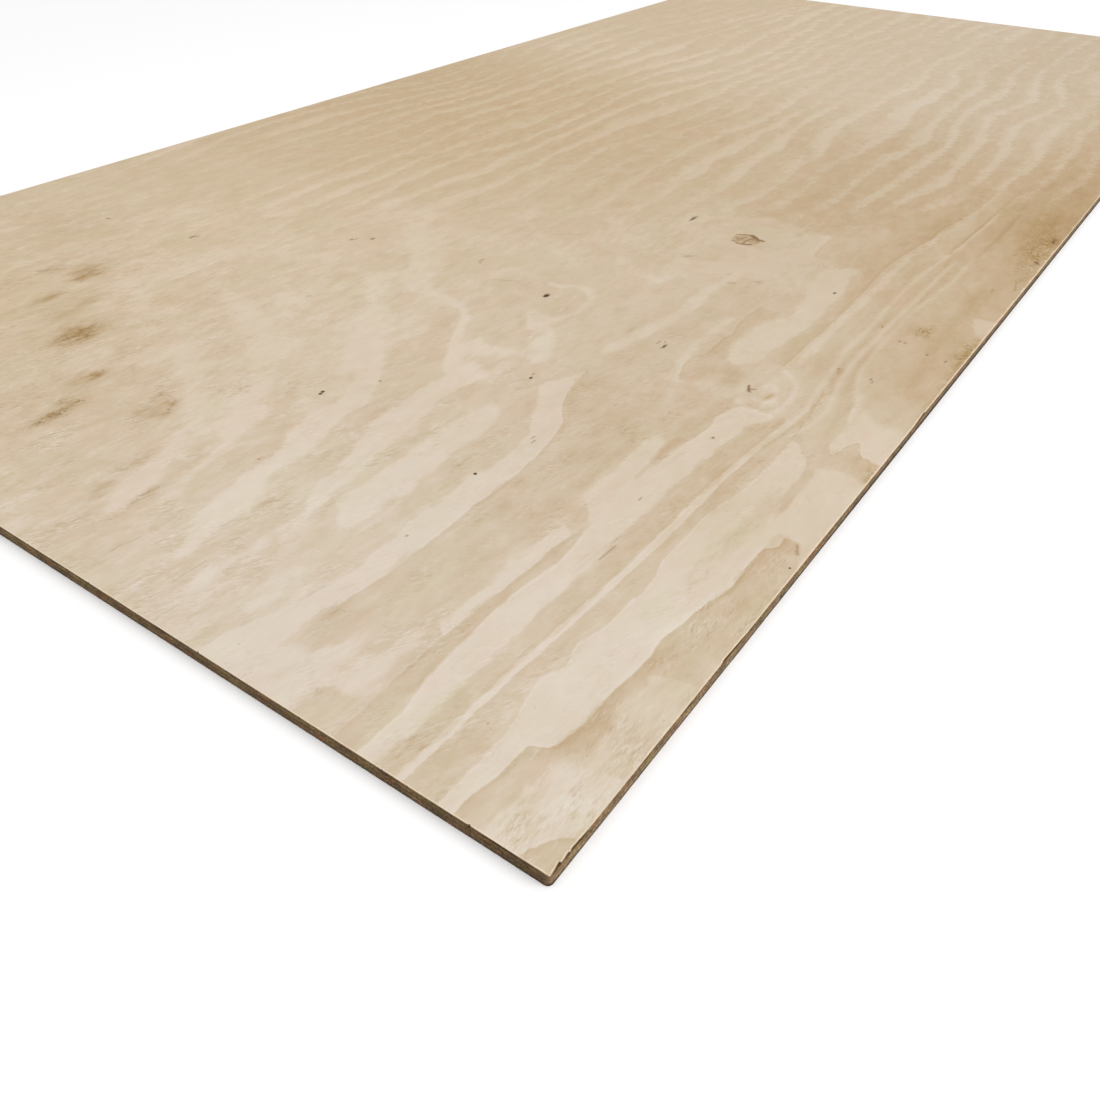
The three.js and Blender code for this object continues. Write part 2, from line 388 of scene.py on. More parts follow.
# Patches: change of figure, width of their rim in millimetres, and outline. Figure is 1 on tan ground and 0
# on pale wood.
PATCHES = [
    (-1.0, 3, [(92, -9), (86, 60), (92, 110), (92, 160), (84, 206), (84, 250), (92, 290), (92, 340),
        (84, 380), (84, 484), (76, 479), (53, 452), (40, 345), (32, 345), (30, 300), (38, 232), (42, 150),
        (50, 70), (62, 60), (66, -9)]),
    (0.6, 8, [(68, 250), (62, 420), (44, 400), (42, 372), (54, 250)]),
    (-1.0, 6, [(43, 450), (40, 345), (24, 348), (10, 344), (-9, 290), (-9, 450), (25, 454)]),
    (-0.62, 7, [(48, -9), (40, 60), (34, 74), (-9, 82), (-9, 26), (6, 22), (18, -9)]),
    (-0.8, 4, [(70, -9), (64, 58), (50, 62), (42, 60), (46, -9)]),
    (-1.0, 3, [(110, -9), (103, 393), (98, 460), (97, 300), (106, -9)]),
    (-1.0, 4, [(127, -9), (129, 393), (122, 478), (108, 500), (111, 508), (124, 503), (138, 506),
        (147, 498), (153, 474), (150, 453), (157, 400), (157, 350), (150, 300), (158, 290), (153, 219),
        (156, 167), (145, -9)]),
    (-1.0, 2.5, [(179, 422), (186, 377), (180, 350), (183, 316), (181, 303), (153, 262), (149, 300),
        (152, 340), (163, 350), (164, 393), (170, 410)]),
    (1.1, 1.5, [(157, 425), (156, 372), (163, 372), (167, 410), (165, 425)]),
    (1.0, 1.5, [(153, 262), (159, 268), (159, 290), (154, 293), (152, 280)]),
    (-1.0, 3, [(174, 258), (179, 193), (176, 167), (178, 143), (175, 117), (168, 106), (161, 201),
        (163, 258)]),
    (-0.75, 15, [(292, -9), (284, 40), (240, 48), (213, 69), (196, 60), (202, -9)]),
    (-1.0, 4, [(245, 308), (250, 345), (262, 387), (284, 424), (300, 469), (310, 460), (318, 430),
        (274, 350), (268, 324), (270, 200), (264, 125), (267, 96), (288, 20), (288, -9), (256, -9),
        (254, 70), (246, 90), (243, 200)]),
    (-0.82, 6, [(336, 382), (345, 303), (338, 254), (340, 201), (336, 172), (305, 159), (299, 222),
        (311, 351), (321, 372)]),
    (-0.6, 8, [(318, 60), (312, 95), (303, 112), (294, 105), (284, 45), (305, 45)]),
    (-0.8, 6, [(401, 393), (404, 372), (400, 287), (374, 227), (371, 185), (362, 167), (342, 148),
        (341, 164), (349, 185), (353, 230), (366, 280), (376, 356), (374, 393)]),
    (-0.9, 8, [(500, 361), (468, 332), (455, 311), (450, 287), (456, 267), (432, 201), (421, 117),
        (410, 90), (384, 54), (374, 64), (384, 90), (387, 133), (408, 175), (410, 212), (430, 277),
        (429, 303), (453, 350), (489, 385)]),
    (-0.62, 12, [(525, 373), (486, 348), (472, 368), (560, 480), (590, 510), (625, 530), (640, 520),
        (580, 460)]),
    (-0.55, 12, [(465, 475), (445, 440), (403, 393), (376, 393), (372, 410), (395, 420), (405, 435),
        (395, 450), (370, 465), (350, 465), (352, 478), (410, 462), (430, 475)]),
    (-0.62, 11, [(424, 556), (388, 500), (346, 462), (330, 468), (334, 484), (396, 558), (412, 562)]),
    (-0.3, 14, [(440, 440), (421, 468), (377, 486), (352, 450), (345, 405), (370, 386), (400, 378),
        (420, 400)]),
    (-0.8, 7, [(200, 30), (190, 73), (189, 97), (184, 112), (173, 97), (173, 60), (170, 35)]),
    (0.5, 3, [(299, 477), (316, 462), (318, 452), (313, 440), (305, 445), (297, 462)]),
    (0.3, 4, [(430, 618), (418, 629), (404, 629), (394, 619), (388, 603), (387, 578), (394, 559),
        (412, 557), (427, 567)]),
    (0.3, 4, [(512, 580), (512, 598), (499, 618), (480, 622), (456, 615), (468, 596), (486, 582)]),
    (0.35, 5, [(488, 525), (485, 550), (463, 577), (439, 576), (444, 552), (471, 516)]),
    (0.4, 8, [(596, 619), (557, 648), (526, 609), (561, 583)]),
    (0.4, 8, [(551, 653), (515, 692), (475, 671), (444, 634), (492, 634), (523, 617)]),
    (0.4, 7, [(411, 682), (363, 694), (344, 662), (350, 636), (382, 645)]),
    (0.5, 5, [(366, 783), (358, 811), (326, 819), (323, 796), (349, 777)]),
    (0.4, 8, [(664, 569), (629, 595), (602, 553), (627, 540)]),
    (0.3, 10, [(567, 477), (526, 507), (477, 501), (460, 474), (544, 462)]),
    (0.35, 12, [(817, 593), (789, 614), (740, 565), (770, 543)]),
    (0.35, 12, [(797, 351), (769, 394), (731, 345), (767, 329)]),
    (-0.5, 10, [(679, 639), (634, 658), (581, 592), (549, 534), (582, 532), (622, 587)]),
    (-0.66, 4, [(312, 521), (295, 653), (297, 721), (292, 758), (297, 825), (312, 862), (300, 850),
        (290, 830), (277, 758), (284, 734), (277, 653), (285, 568), (300, 515)]),
    (-0.8, 5, [(204, 590), (209, 653), (204, 690), (188, 705), (190, 740), (200, 790), (205, 850),
        (175, 880), (173, 840), (164, 800), (158, 700), (170, 590), (182, 576), (195, 576)]),
    (-0.5, 14, [(330, 930), (285, 960), (246, 950), (240, 885), (205, 880), (180, 860), (172, 800),
        (205, 760), (245, 745), (275, 790)]),
    (-0.4, 4, [(57, 566), (51, 540), (49, 488), (-9, 484), (-9, 556), (30, 552)]),
    (-0.35, 5, [(51, 540), (49, 488), (-9, 484), (-9, 540), (25, 545), (48, 570), (78, 660), (82, 660)]),
    (-0.2, 22, [(60, 580), (45, 500), (-20, 500), (-20, 590), (20, 600)]),
    (-0.4, 9, [(150, 600), (172, 575), (164, 560), (164, 535), (200, 526), (222, 512), (125, 503),
        (108, 515), (104, 550), (112, 590), (125, 610)]),
    (-0.85, 1.6, [(27, 829), (20, 801), (13, 786), (4, 778), (-9, 777), (-9, 824), (15, 829)]),
    (0.5, 12, [(1130, 420), (1040, 480), (975, 440), (985, 380), (1040, 330)]),
    (0.3, 8, [(348, 731), (310, 728), (298, 700), (310, 690), (340, 695)]),
]

# Soft streaks: change of figure, half-width, and the line each follows.
STREAKS = [
    (-0.6, 6, [(497, 240), (450, 90)]),
    (-0.8, 9, [(505, 140), (475, 68)]),
    (-0.5, 12, [(352, 60), (342, 140)]),
    (-0.45, 15, [(360, 350), (362, 290)]),
    (-0.45, 14, [(332, 10), (330, 60)]),
    (-0.4, 7, [(345, 20), (350, 60)]),
    (-0.6, 5, [(471, 500), (442, 450), (405, 400)]),
    (0.3, 10, [(484, 487), (466, 465), (436, 385), (420, 362)]),
    (0.35, 10, [(450, 483), (420, 490)]),
    (-0.78, 19, [(700, 380), (612, 345), (530, 262), (495, 200)]),
    (-0.6, 14, [(655, 283), (522, 186), (488, 100)]),
    (-0.6, 22, [(650, 420), (600, 350), (575, 330)]),
    (-0.6, 5, [(660, 640), (620, 590), (589, 532), (555, 518), (521, 527), (485, 516), (465, 497),
        (456, 477)]),
    (-0.6, 5, [(523, 611), (503, 636), (461, 631), (424, 620)]),
    (-0.6, 6, [(442, 624), (420, 636), (401, 637), (386, 622), (379, 602), (379, 578), (386, 553)]),
    (-0.6, 4, [(434, 569), (419, 544), (397, 520)]),
    (-0.5, 9, [(422, 736), (382, 709), (346, 709), (301, 806), (280, 800)]),
    (-0.25, 16, [(540, 735), (490, 715), (470, 690)]),
    (0.3, 14, [(530, 680), (462, 640)]),
    (0.3, 7, [(432, 560), (412, 525)]),
    (-0.7, 8, [(236, 665), (238, 600), (235, 570), (221, 520), (205, 484)]),
    (-0.4, 8, [(276, 60), (273, 300)]),
    (-0.35, 13, [(317, 168), (324, 90)]),
    (-0.7, 6, [(135, 620), (140, 950), (134, 985), (131, 1040), (120, 1100)]),
    (0.3, 7, [(118, 605), (120, 880), (115, 950)]),
    (-0.5, 9, [(247, 947), (243, 860)]),
    (-0.4, 9, [(60, 1180), (58, 1020)]),
    (0.5, 10, [(25, 620), (35, 680), (40, 760), (35, 900)]),
    (0.4, 5, [(37, 205), (36, 175)]),
    (-0.3, 9, [(215, 260), (210, 215)]),
    (-0.4, 14, [(205, 120), (205, 75)]),
    (-0.5, 10, [(246, 400), (238, 300)]),
    (0.5, 16, [(225, 440), (205, 400), (208, 350)]),
    (0.4, 14, [(195, 465), (170, 455)]),
    (0.4, 7, [(197, 310), (196, 255)]),
    (0.5, 7, [(231, 262), (222, 250)]),
    (0.25, 40, [(760, 380), (700, 340)]),
    (0.36, 62, [(600, 90), (680, 170), (860, 290)]),
    (-0.25, 40, [(420, 240), (520, 400)]),
]

# Soft shades: tone change, half-width, and path.
SHADES = [
    (-0.34, 10, [(40, 190), (34, 228), (26, 280), (22, 325)]),
]

# Fine lines: tone change, half-width, and path.
LINES = [
    (-0.40, 2.8, [(98, 478), (91, 524), (108, 675), (107, 720), (110, 813), (110, 880), (105, 973),
        (99, 1020), (93, 1160)]),
    (0.12, 2.6, [(84, 520), (97, 640), (99, 680), (99, 813), (95, 970)]),
    (-0.40, 2.8, [(84, 484), (76, 518), (75, 545), (86, 600), (90, 632), (92, 668), (92, 770), (90, 818),
        (90, 965)]),
    (0.18, 3.0, [(58, 500), (62, 530), (80, 620), (84, 660), (86, 705), (86, 800), (88, 870), (86, 930)]),
    (-0.32, 3.0, [(51, 540), (58, 572), (78, 632), (84, 705), (84, 805), (79, 843), (74, 906), (74, 988)]),
    (-0.2, 5, [(31, 146), (32, 178)]),
    (-0.2, 4, [(39, 144), (40, 160)]),
    (-0.18, 5, [(57, 20), (57, 66)]),
    (0.25, 6, [(85, -5), (85, 50)]),
    (0.3, 7, [(85, 345), (85, 372)]),
    (0.2, 6, [(44, 414), (44, 440)]),
    (0.3, 5, [(49, 541), (53, 556)]),
    (0.30, 1.8, [(103, 985), (98, 1140)]),
    (0.30, 2.0, [(137, 1015), (137, 1055), (132, 1090)]),
    (-0.9, 1.0, [(9, 1072), (13, 1056), (12, 1046)]),
    (-0.8, 1.0, [(20, 1004), (13, 1006), (9, 998)]),
    (-0.8, 0.9, [(24, 1062), (21, 1050)]),
    (0.28, 3.0, [(73, 960), (70, 1080), (70, 1180)]),
    (-0.27, 3.8, [(141, 594), (129, 586), (122, 579), (116, 567), (112, 554), (109, 530), (110, 519),
        (115, 510), (121, 506), (131, 504), (139, 506)]),
    (0.27, 2.0, [(139, 512), (132, 511), (124, 512.5), (118, 518), (115, 527), (114, 539), (120, 564)]),
    (-0.32, 3.0, [(141, 526), (134, 523), (128, 525), (124.5, 531), (124, 539), (127, 549), (132, 557),
        (138, 560), (141, 553)]),
    (0.38, 3.2, [(134.5, 532.5), (130, 534), (129, 543)]),
    (0.30, 4.6, [(131, 536), (129, 541)]),
    (-0.55, 0.9, [(56.5, 66), (55.5, 58)]),
    (0.25, 1.6, [(49, 4), (48, 33)]),
    (0.30, 1.3, [(43, 378), (41, 420), (43, 440)]),
    (0.25, 7.0, [(176, 560), (173, 540)]),
    (-0.20, 3.0, [(247, 950), (240, 880)]),
    (0.3, 1.2, [(130, 270), (133, 215)]),
    (0.2, 1.5, [(136, 250), (137, 215)]),
]

# Marks, the dark hairlines and strokes: darkness, half-width, and path.
MARKS = [
    (1.0, 1.5, [(343, 888), (335, 895), (325, 897), (319, 894)]),  # the knot's
    (1.4, 2.6, [(325, 897), (312, 888), (306, 888)]),
    (1.1, 2.2, [(330, 863), (322, 865), (314, 869)]),
    (0.8, 1.8, [(324, 869), (324, 879), (323, 886), (318, 886)]),
    (0.8, 1.6, [(338, 867), (337, 869)]),
    (0.6, 1.5, [(314, 884), (308, 880)]),
    (1.6, 1.2, [(154.5, 545), (150, 536)]),
    (1.0, 0.9, [(152, 539), (145.5, 543)]),
    (0.6, 1.3, [(13, 343), (10.5, 338)]),
    (0.7, 1.3, [(10, 336), (8, 333)]),
    (0.35, 0.8, [(339, 2), (340, 8), (339, 14), (339, 23)]),
    (0.4, 0.8, [(362, 36), (363, 47), (362, 66)]),
    (0.35, 0.9, [(429, 33), (430, 40), (425, 56)]),
    (0.5, 1.0, [(474, 87), (471, 91), (471, 96), (473, 100)]),
    (0.5, 1.0, [(469, 75), (469, 85)]),
    (0.35, 0.8, [(367, 91), (364, 105)]),
    (0.35, 0.8, [(371, 127), (370, 134)]),
    (0.35, 0.8, [(387, 100), (385, 112)]),
    (0.3, 1.0, [(253, 77), (250, 84), (250, 91)]),
    (0.3, 1.0, [(113, 122), (112, 138)]),
    (0.6, 0.9, [(126, 240), (125, 262)]),
    (0.4, 0.7, [(129, 262), (128, 275)]),
    (0.35, 1.0, [(466, 72), (467, 88), (465, 98)]),
    (0.5, 1.6, [(948, 298), (926, 323)]),
    (0.5, 1.5, [(872, 270), (868, 284)]),
    (0.3, 1.5, [(340, 677), (323, 700)]),
    (0.5, 1.6, [(361, 787), (351, 797)]),
    (0.5, 1.8, [(283, 748), (274, 753)]),
    (0.45, 1.5, [(259, 769), (252, 778)]),
    (0.35, 1.6, [(504, 596), (478, 609)]),
    (0.4, 1.6, [(528, 753), (504, 771)]),
    (1.6, 2.3, [(11, 1024), (6, 1017)]),
    (0.45, 1.5, [(14, 950), (8, 922)]),
    (0.4, 1.3, [(27, 992), (7, 989)]),
    (0.6, 1.6, [(11, 1117), (10, 1098)]),
    (0.45, 1.4, [(30, 914), (29, 904)]),
    (0.3, 1.4, [(597, 196), (588, 206), (575, 204), (565, 190)]),
]

# Pins, the small dead knots: (across, along, half-width, half-length, darkness).
PINS = [
    (273, 274, 1.4, 1.4, 1.4), (476, 296, 2, 2, 1.0), (475, 292, 2, 2.2, 0.9), (446, 343, 1.8, 2, 0.6),
    (333, 434, 1.8, 2.4, 0.9), (335, 441, 1.5, 3, 0.5), (138, 442, 1.5, 2, 0.7), (262, 568, 1.8, 5.5, 0.8),
    (271, 572, 1.2, 5, 0.45), (266, 577, 1, 3, 0.5), (97, 745, 1.5, 4, 0.5), (98, 628, 1.5, 4, 0.45),
    (64, 626, 1.5, 4, 0.5), (61, 622, 1.2, 4, 0.45), (172, 795, 2, 3.2, 0.75), (704, 603, 2.5, 4, 0.7),
    (723, 586, 3, 3, 0.6), (720, 590, 2, 3, 0.45), (552, 631, 1.8, 7, 0.5), (548, 624, 1.5, 5, 0.4),
    (889, 474, 2, 6, 0.7), (884, 478, 2, 4, 0.45), (267, 348, 1, 5, 0.45), (263, 343, 1, 5, 0.5),
    (262, 177, 1.8, 2.4, 0.4), (6, 315, 1.1, 1.1, 0.85), (431, 596, 2.8, 4.8, 1.2), (70, 722, 2.4, 2, 0.5),
    (64, 722, 2.4, 3.5, 0.35), (37, 710, 1.5, 2.4, 0.6), (17, 706, 1.5, 4, 0.55), (142, 325, 0.8, 4, 0.55),
    (10, 1105, 2, 7, 0.7), (436, 182, 1.5, 1.5, 0.45), (566, 189, 2, 1.5, 0.5), (415, 905, 2.4, 11, 0.8),
    (1028, 450, 5, 3, 0.45), (643, 437, 4, 6, 0.35),
]

# Knots: (across, along, half-width, half-length).
KNOTS = [(325, 879, 17.5, 17)]
DARK_PIN = 0.5  # the darkness from which the grain runs round a pin

# Stains: (across, along, half-width, half-length, strength, how far it breaks into specks).
STAINS = [
    (768, 228, 13, 28, 1.0, 0.75), (751, 222, 5, 20, 0.5, 0.6), (246, 79, 6, 12, 0.35, 0.3),
    (677, 190, 8, 14, 0.6, 1.2), (680, 170, 30, 26, 0.35, 0.1), (705, 236, 8, 12, 0.3, 0.1),
    (641, 120, 8, 22, 0.9, 1.2), (657, 142, 5, 9, 0.6, 1.2), (645, 149, 4, 9, 0.5, 1.2),
    (595, 202, 6, 5, 0.45, 1.0), (572, 198, 6, 5, 0.6, 0.5), (576, 178, 15, 22, 0.55, 0.1),
    (571, 199, 5, 7, 0.4, 0.0), (563, 184, 4, 8, 0.5, 0.6), (515, 112, 9, 24, 0.4, 0.1),
    (508, 76, 6, 14, 0.25, 0.1), (471, 100, 5, 16, 0.6, 0.5), (505, 68, 7, 16, 0.3, 0.2),
    (488, 35, 8, 18, 0.4, 0.3), (900, 332, 14, 18, 0.6, 0.4), (888, 318, 8, 22, 0.5, 0.2),
    (872, 262, 8, 20, 0.6, 0.4), (829, 291, 8, 20, 0.6, 0.5), (823, 258, 6, 12, 0.4, 0.5),
    (940, 310, 12, 16, 0.45, 0.3), (810, 240, 60, 30, 0.3, 0.1), (930, 350, 70, 40, 0.3, 0.1),
    (1060, 410, 70, 60, 0.3, 0.1), (60, 757, 11, 18, 0.5, 1.2), (52, 762, 5, 12, 0.3, 1.2),
    (40, 730, 22, 40, 0.2, 0.6), (9, 735, 9, 40, 0.45, 1.0), (4, 745, 4, 34, 0.5, 1.0),
    (3, 680, 4, 34, 0.5, 1.0), (3, 600, 3.5, 50, 0.45, 0.8), (34, 1170, 24, 44, 0.75, 0.4),
    (24, 1095, 20, 44, 0.45, 0.9), (10, 1104, 7, 18, 0.6, 1.2), (24, 1045, 17, 44, 0.4, 1.1),
    (12, 1035, 7, 24, 0.4, 1.2), (22, 985, 14, 34, 0.35, 1.1), (8, 955, 6, 24, 0.4, 1.0),
    (28, 915, 10, 26, 0.25, 1.1), (46, 800, 16, 30, 0.25, 0.1), (344, 616, 9, 8, 0.4, 0.3),
    (359, 790, 6, 5, 0.5, 0.2), (501, 819, 4, 5, 0.4, 0.2), (309, 581, 3, 13, 0.5, 0.2),
    (337, 687, 4, 9, 0.4, 0.2), (267, 671, 2.5, 7, 0.4, 0.2), (279, 750, 4, 6, 0.6, 0.3),
    (293, 771, 2.5, 9, 0.45, 0.2), (254, 772, 4, 9, 0.5, 0.2), (226, 252, 9, 11, 0.3, 0.4),
    (197, 275, 5, 14, 0.3, 0.3), (37, 196, 6, 9, 0.4, 0.3), (40, 100, 5, 24, 0.3, 0.2),
    (6, 476, 5, 8, 0.55, 0.9), (3, 460, 4, 7, 0.55, 0.9), (9, 337, 5, 9, 0.4, 0.6),
    (111, 1135, 9, 24, 0.3, 0.3), (95, 625, 3, 8, 0.55, 0.2), (86, 580, 2.5, 8, 0.35, 0.1),
    (60, 565, 2.5, 9, 0.45, 0.1), (129.5, 540, 3.4, 5, 0.35, 0.0),
]

# The slow drift of tone: each change comes in between two places across and two along the sheet, and goes
# again between the last two along it.
ALL_OVER = (-2, -1)
NEVER = (9000, 9001)
DRIFT = [
    (0.16, ALL_OVER, (190, 320), NEVER),
    (0.18, ALL_OVER, (300, 420), NEVER),
    (0.12, ALL_OVER, (480, 620), NEVER),
    (0.32, ALL_OVER, (700, 900), NEVER),
    (0.12, ALL_OVER, (900, 1050), NEVER),
    (-0.45, ALL_OVER, (1250, 1700), NEVER),
    (0.10, (270, 200), (170, 250), (340, 430)),
    (0.08, (140, 80), (240, 300), (340, 430)),
    (0.14, (60, 25), (600, 680), NEVER),
    (0.22, (140, 70), (560, 630), (760, 820)),
    (0.34, (130, 60), (1000, 1120), NEVER),
    (0.15, (480, 640), (-2, -1), (250, 340)),
    (-0.14, (220, 300), (-2, -1), (150, 230)),
    (0.18, (410, 470), (-2, -1), (150, 230)),
    (-0.22, (265, 345), (330, 420), (690, 760)),
    (-0.06, (700, 760), (220, 280), (330, 420)),
    (0.12, (700, 800), (-2, -1), (250, 340)),
    (-0.25, (300, 420), (690, 850), NEVER),
]
FIRST_TONE = 0.05

# The part of the face that the photograph shows, and how far from its border the drawn figure gives way.
SEEN = [(-20, -20), (430, -20), (1060, 380), (1060, 440), (620, 740), (60, 1130), (-20, 1200)]
SEEN_FADE = (-100, -10)


def smooth_line(points):
    """The smooth curve through (across, along) points, as across for any along."""
    value, at = np.array(points, float).T
    slope = np.gradient(value, at)

    def line(along):
        i = np.clip(np.searchsorted(at, along) - 1, 0, len(at) - 2)
        run = at[i + 1] - at[i]
        t = np.clip((along - at[i]) / run, 0, 1)
        rise = value[i + 1] - value[i]
        bend = slope[i] * run * t * (1 - t) ** 2 - slope[i + 1] * run * t**2 * (1 - t)
        return value[i] + rise * t**2 * (3 - 2 * t) + bend

    return line


def smoothstep(value, low, high):
    t = np.clip((value - low) / (high - low), 0, 1)
    return t * t * (3 - 2 * t)


def lattice_noise(across, along, size, seed):
    """Smooth noise from -1 to 1 over the face, with cells of size (across, along)."""
    table = np.random.RandomState(seed).uniform(-1, 1, (64, 64))
    u, v = across / size[0] + 17.3, along / size[1] + 9.1
    i, j = np.floor(u).astype(int), np.floor(v).astype(int)
    s, t = u - i, v - j
    s, t = s * s * (3 - 2 * s), t * t * (3 - 2 * t)
    i, j = i % 64, j % 64
    i1, j1 = (i + 1) % 64, (j + 1) % 64
    low = table[i, j] * (1 - s) + table[i1, j] * s
    high = table[i, j1] * (1 - s) + table[i1, j1] * s
    return low * (1 - t) + high * t


def band_measures(across, along):
    """For each latewood band: how far inside it each point is, in border widths, its tone there, and the
    distance in millimetres past its nearest crisp border."""
    for band in LATEWOOD:
        sharp, fading = smooth_line(band["sharp"])(along), smooth_line(band["fading"])(along)
        way = 1 if band["fading"][1][0] > band["sharp"][1][0] else -1
        start, stop = band["sharp"][0][1], band["sharp"][-1][1]
        ends = stop - along if start == 0 else np.minimum(along - start, stop - along)
        depth, rest = (across - sharp) * way, (fading - across) * way
        inside = np.minimum(depth / CRISP, rest / band["soft"])
        inside = np.minimum(inside, ends / band.get("ends", ENDS))
        brink = np.where(rest < depth, rest, depth) if band["soft"] < 2.5 else depth
        brink = np.where((ends > 0) & (rest > -BEYOND), brink, FAR)
        fade = np.exp(-np.maximum(depth, 0) / band["depth"])
        yield inside, band["tone"] * (band["tail"] + (1 - band["tail"]) * fade), brink
    top = smooth_line([(along_at, across_at) for across_at, along_at in SCALLOPS])(across)
    depth, beside = top - along, SCALLOPS[-1][0] - across
    inside = np.minimum(depth / CRISP, (SCALLOP_DEPTH - depth) / SCALLOP_SOFT)
    inside = np.minimum(inside, beside / 2)
    tone = SCALLOP_TONE - SCALLOP_FALL * smoothstep(depth, 0, SCALLOP_DEPTH)
    yield inside, tone, np.where(beside > 0, depth, FAR)


def band_values(across, along):
    """How far inside latewood each point is, in border widths, its tone, and the distance past a crisp
    border."""
    measures = [(np.clip(inside, -6, 6), *rest) for inside, *rest in band_measures(across, along)]
    inside = np.max([m for m, _, _ in measures], axis=0)
    weights = [np.exp(RULE * np.minimum(m, 1.5)) + 1e-9 for m, _, _ in measures]
    tone = sum(w * t for w, (_, t, _) in zip(weights, measures)) / sum(weights)
    brinks = np.array([brink for _, _, brink in measures])
    nearest = np.abs(brinks).argmin(axis=0)
    brink = np.take_along_axis(brinks, nearest[None], axis=0)[0]
    return inside, tone, np.clip(brink, -FAR, FAR)


def near_points(across, along, points, reach):
    """Which places lie within reach of the box round some points."""
    (a0, v0), (a1, v1) = np.min(points, axis=0), np.max(points, axis=0)
    beside = (across > a0 - reach) & (across < a1 + reach)
    return np.nonzero(beside & (along > v0 - reach) & (along < v1 + reach))


def path_distance(across, along, points):
    """Distance of each place from a line through the given points."""
    nearest = np.full(across.shape, 1e9)
    for (a0, v0), (a1, v1) in zip(points, points[1:]):
        da, dv = a1 - a0, v1 - v0
        t = np.clip(((across - a0) * da + (along - v0) * dv) / (da * da + dv * dv), 0, 1)
        nearest = np.minimum(nearest, np.hypot(across - a0 - t * da, along - v0 - t * dv))
    return nearest


def inside_outline(across, along, outline):
    """Distance of each place inside an outline, negative outside it."""
    closed = outline + outline[:1]
    crossings = np.zeros(across.shape, int)
    for (a0, v0), (a1, v1) in zip(closed, closed[1:]):
        if v0 != v1:
            level = (along >= min(v0, v1)) & (along < max(v0, v1))
            crossings += level & (across < a0 + (along - v0) * (a1 - a0) / (v1 - v0))
    side = np.where(crossings % 2 == 1, 1.0, -1.0)
    return side * path_distance(across, along, closed)


def drawn_lines(across, along, lines):
    """The sum of soft lines, each given as (change, half-width, path)."""
    total = np.zeros(across.shape)
    for change, half_width, points in lines:
        near = near_points(across, along, points, 3 * half_width)
        off = path_distance(across[near], along[near], points)
        total[near] += change * np.exp(-((off / half_width) ** 2))
    return total


def drawn_patches(across, along):
    """The sum of the patches, with borders that waver."""
    total = np.zeros(across.shape)
    across, along = (
        across + 2.6 * lattice_noise(across, along, (9, 16), 17),
        along + 4.0 * lattice_noise(across, along, (11, 17), 19),
    )
    for change, rim, outline in PATCHES:
        near = near_points(across, along, outline, rim)
        depth = inside_outline(across[near], along[near], outline)
        total[near] += change * smoothstep(depth, -rim, rim)
    return total


RING_WANDER = ((34, (170, 460), 3), (18, (70, 180), 5), (6, (24, 60), 7))  # millimetres, size and seed
RING_SPACING = 46


def growth_rings(across, along):
    """Figure where none is drawn: broken ring lines that wander along the grain, from 0 to 1."""
    wander = sum(far * lattice_noise(across, along, size, seed) for far, size, seed in RING_WANDER)
    phase = (across + wander) / RING_SPACING
    part = phase - np.floor(phase)
    marked = 0.7 + 0.3 * lattice_noise(across, along, (130, 240), 13)
    return 1 - marked * (1 - smoothstep(part, 0.0, 0.75) * smoothstep(part, 1.0, 0.88))


def figure_values(across, along):
    """The slow drift of tone over the sheet, and the figure on it: 0 for pale wood and 1 for tan ground."""
    trend = FIRST_TONE * np.ones(across.shape)
    for change, (across_out, across_in), (rise_from, rise_to), (fall_from, fall_to) in DRIFT:
        here = smoothstep(across, across_out, across_in) * smoothstep(along, rise_from, rise_to)
        trend += change * here * smoothstep(along, fall_to, fall_from)
    trend += drawn_lines(across, along, SHADES)

    seen = smoothstep(inside_outline(across, along, SEEN), *SEEN_FADE)
    loose = smoothstep(across, 420, 540) + smoothstep(along, 560, 760) * smoothstep(across, 180, 330)
    loose = np.clip(loose, 0, 1)
    cloud = lattice_noise(across, along, (52, 90), 11) + 0.7 * lattice_noise(across, along, (20, 44), 15)
    drawn = drawn_patches(across, along) + drawn_lines(across, along, STREAKS)
    drawn = np.maximum(1 + drawn, -0.1) * (1 - loose) + (0.54 + 0.5 * drawn) * loose
    drawn += cloud * (0.10 + 0.08 * loose)
    return trend, drawn * seen + growth_rings(across, along) * (1 - seen)


def torn_values(across, along):
    """How far the knife tore the grain: most on the left, and least far away."""
    left = smoothstep(across, 270, 400) * smoothstep(along, 380, 230)
    edge = smoothstep(across, 60, 35) * (smoothstep(along, 285, 235) - 0.5 * smoothstep(along, 235, 285))
    return 1 + 0.6 * left + 0.4 * edge - 0.45 * smoothstep(along, 380, 700)


def off_middle(across, along, middle_across, middle_along, half_width, half_length):
    """Distance of each place from a spot's middle, as a share of its size."""
    return np.hypot((across - middle_across) / half_width, (along - middle_along) / half_length)


def stain_values(across, along):
    """How strong the stains are at each place, and how far they break into specks there."""
    stain, specks = np.zeros(across.shape), np.zeros(across.shape)
    for a, v, half_width, half_length, strength, speck in STAINS:
        away = ((across - a) / half_width) ** 2 + ((along - v) / half_length) ** 2
        here = strength * np.exp(-0.8 * away)
        stain += here
        specks += here * speck
    return stain, specks


def pin_values(across, along):
    """How dark the pins are at each place: at a pin's rim, half as dark as in its middle."""
    pins = np.zeros(across.shape)
    for *spot, darkness in PINS:
        near = 1 / (1 + off_middle(across, along, *spot) ** 4)
        pins = np.maximum(pins, darkness * near)
    return pins


def knot_values(across, along):
    """Distance from the nearest knot, as a share of its size."""
    return np.minimum(4.0, np.min([off_middle(across, along, *knot) for knot in KNOTS], axis=0))


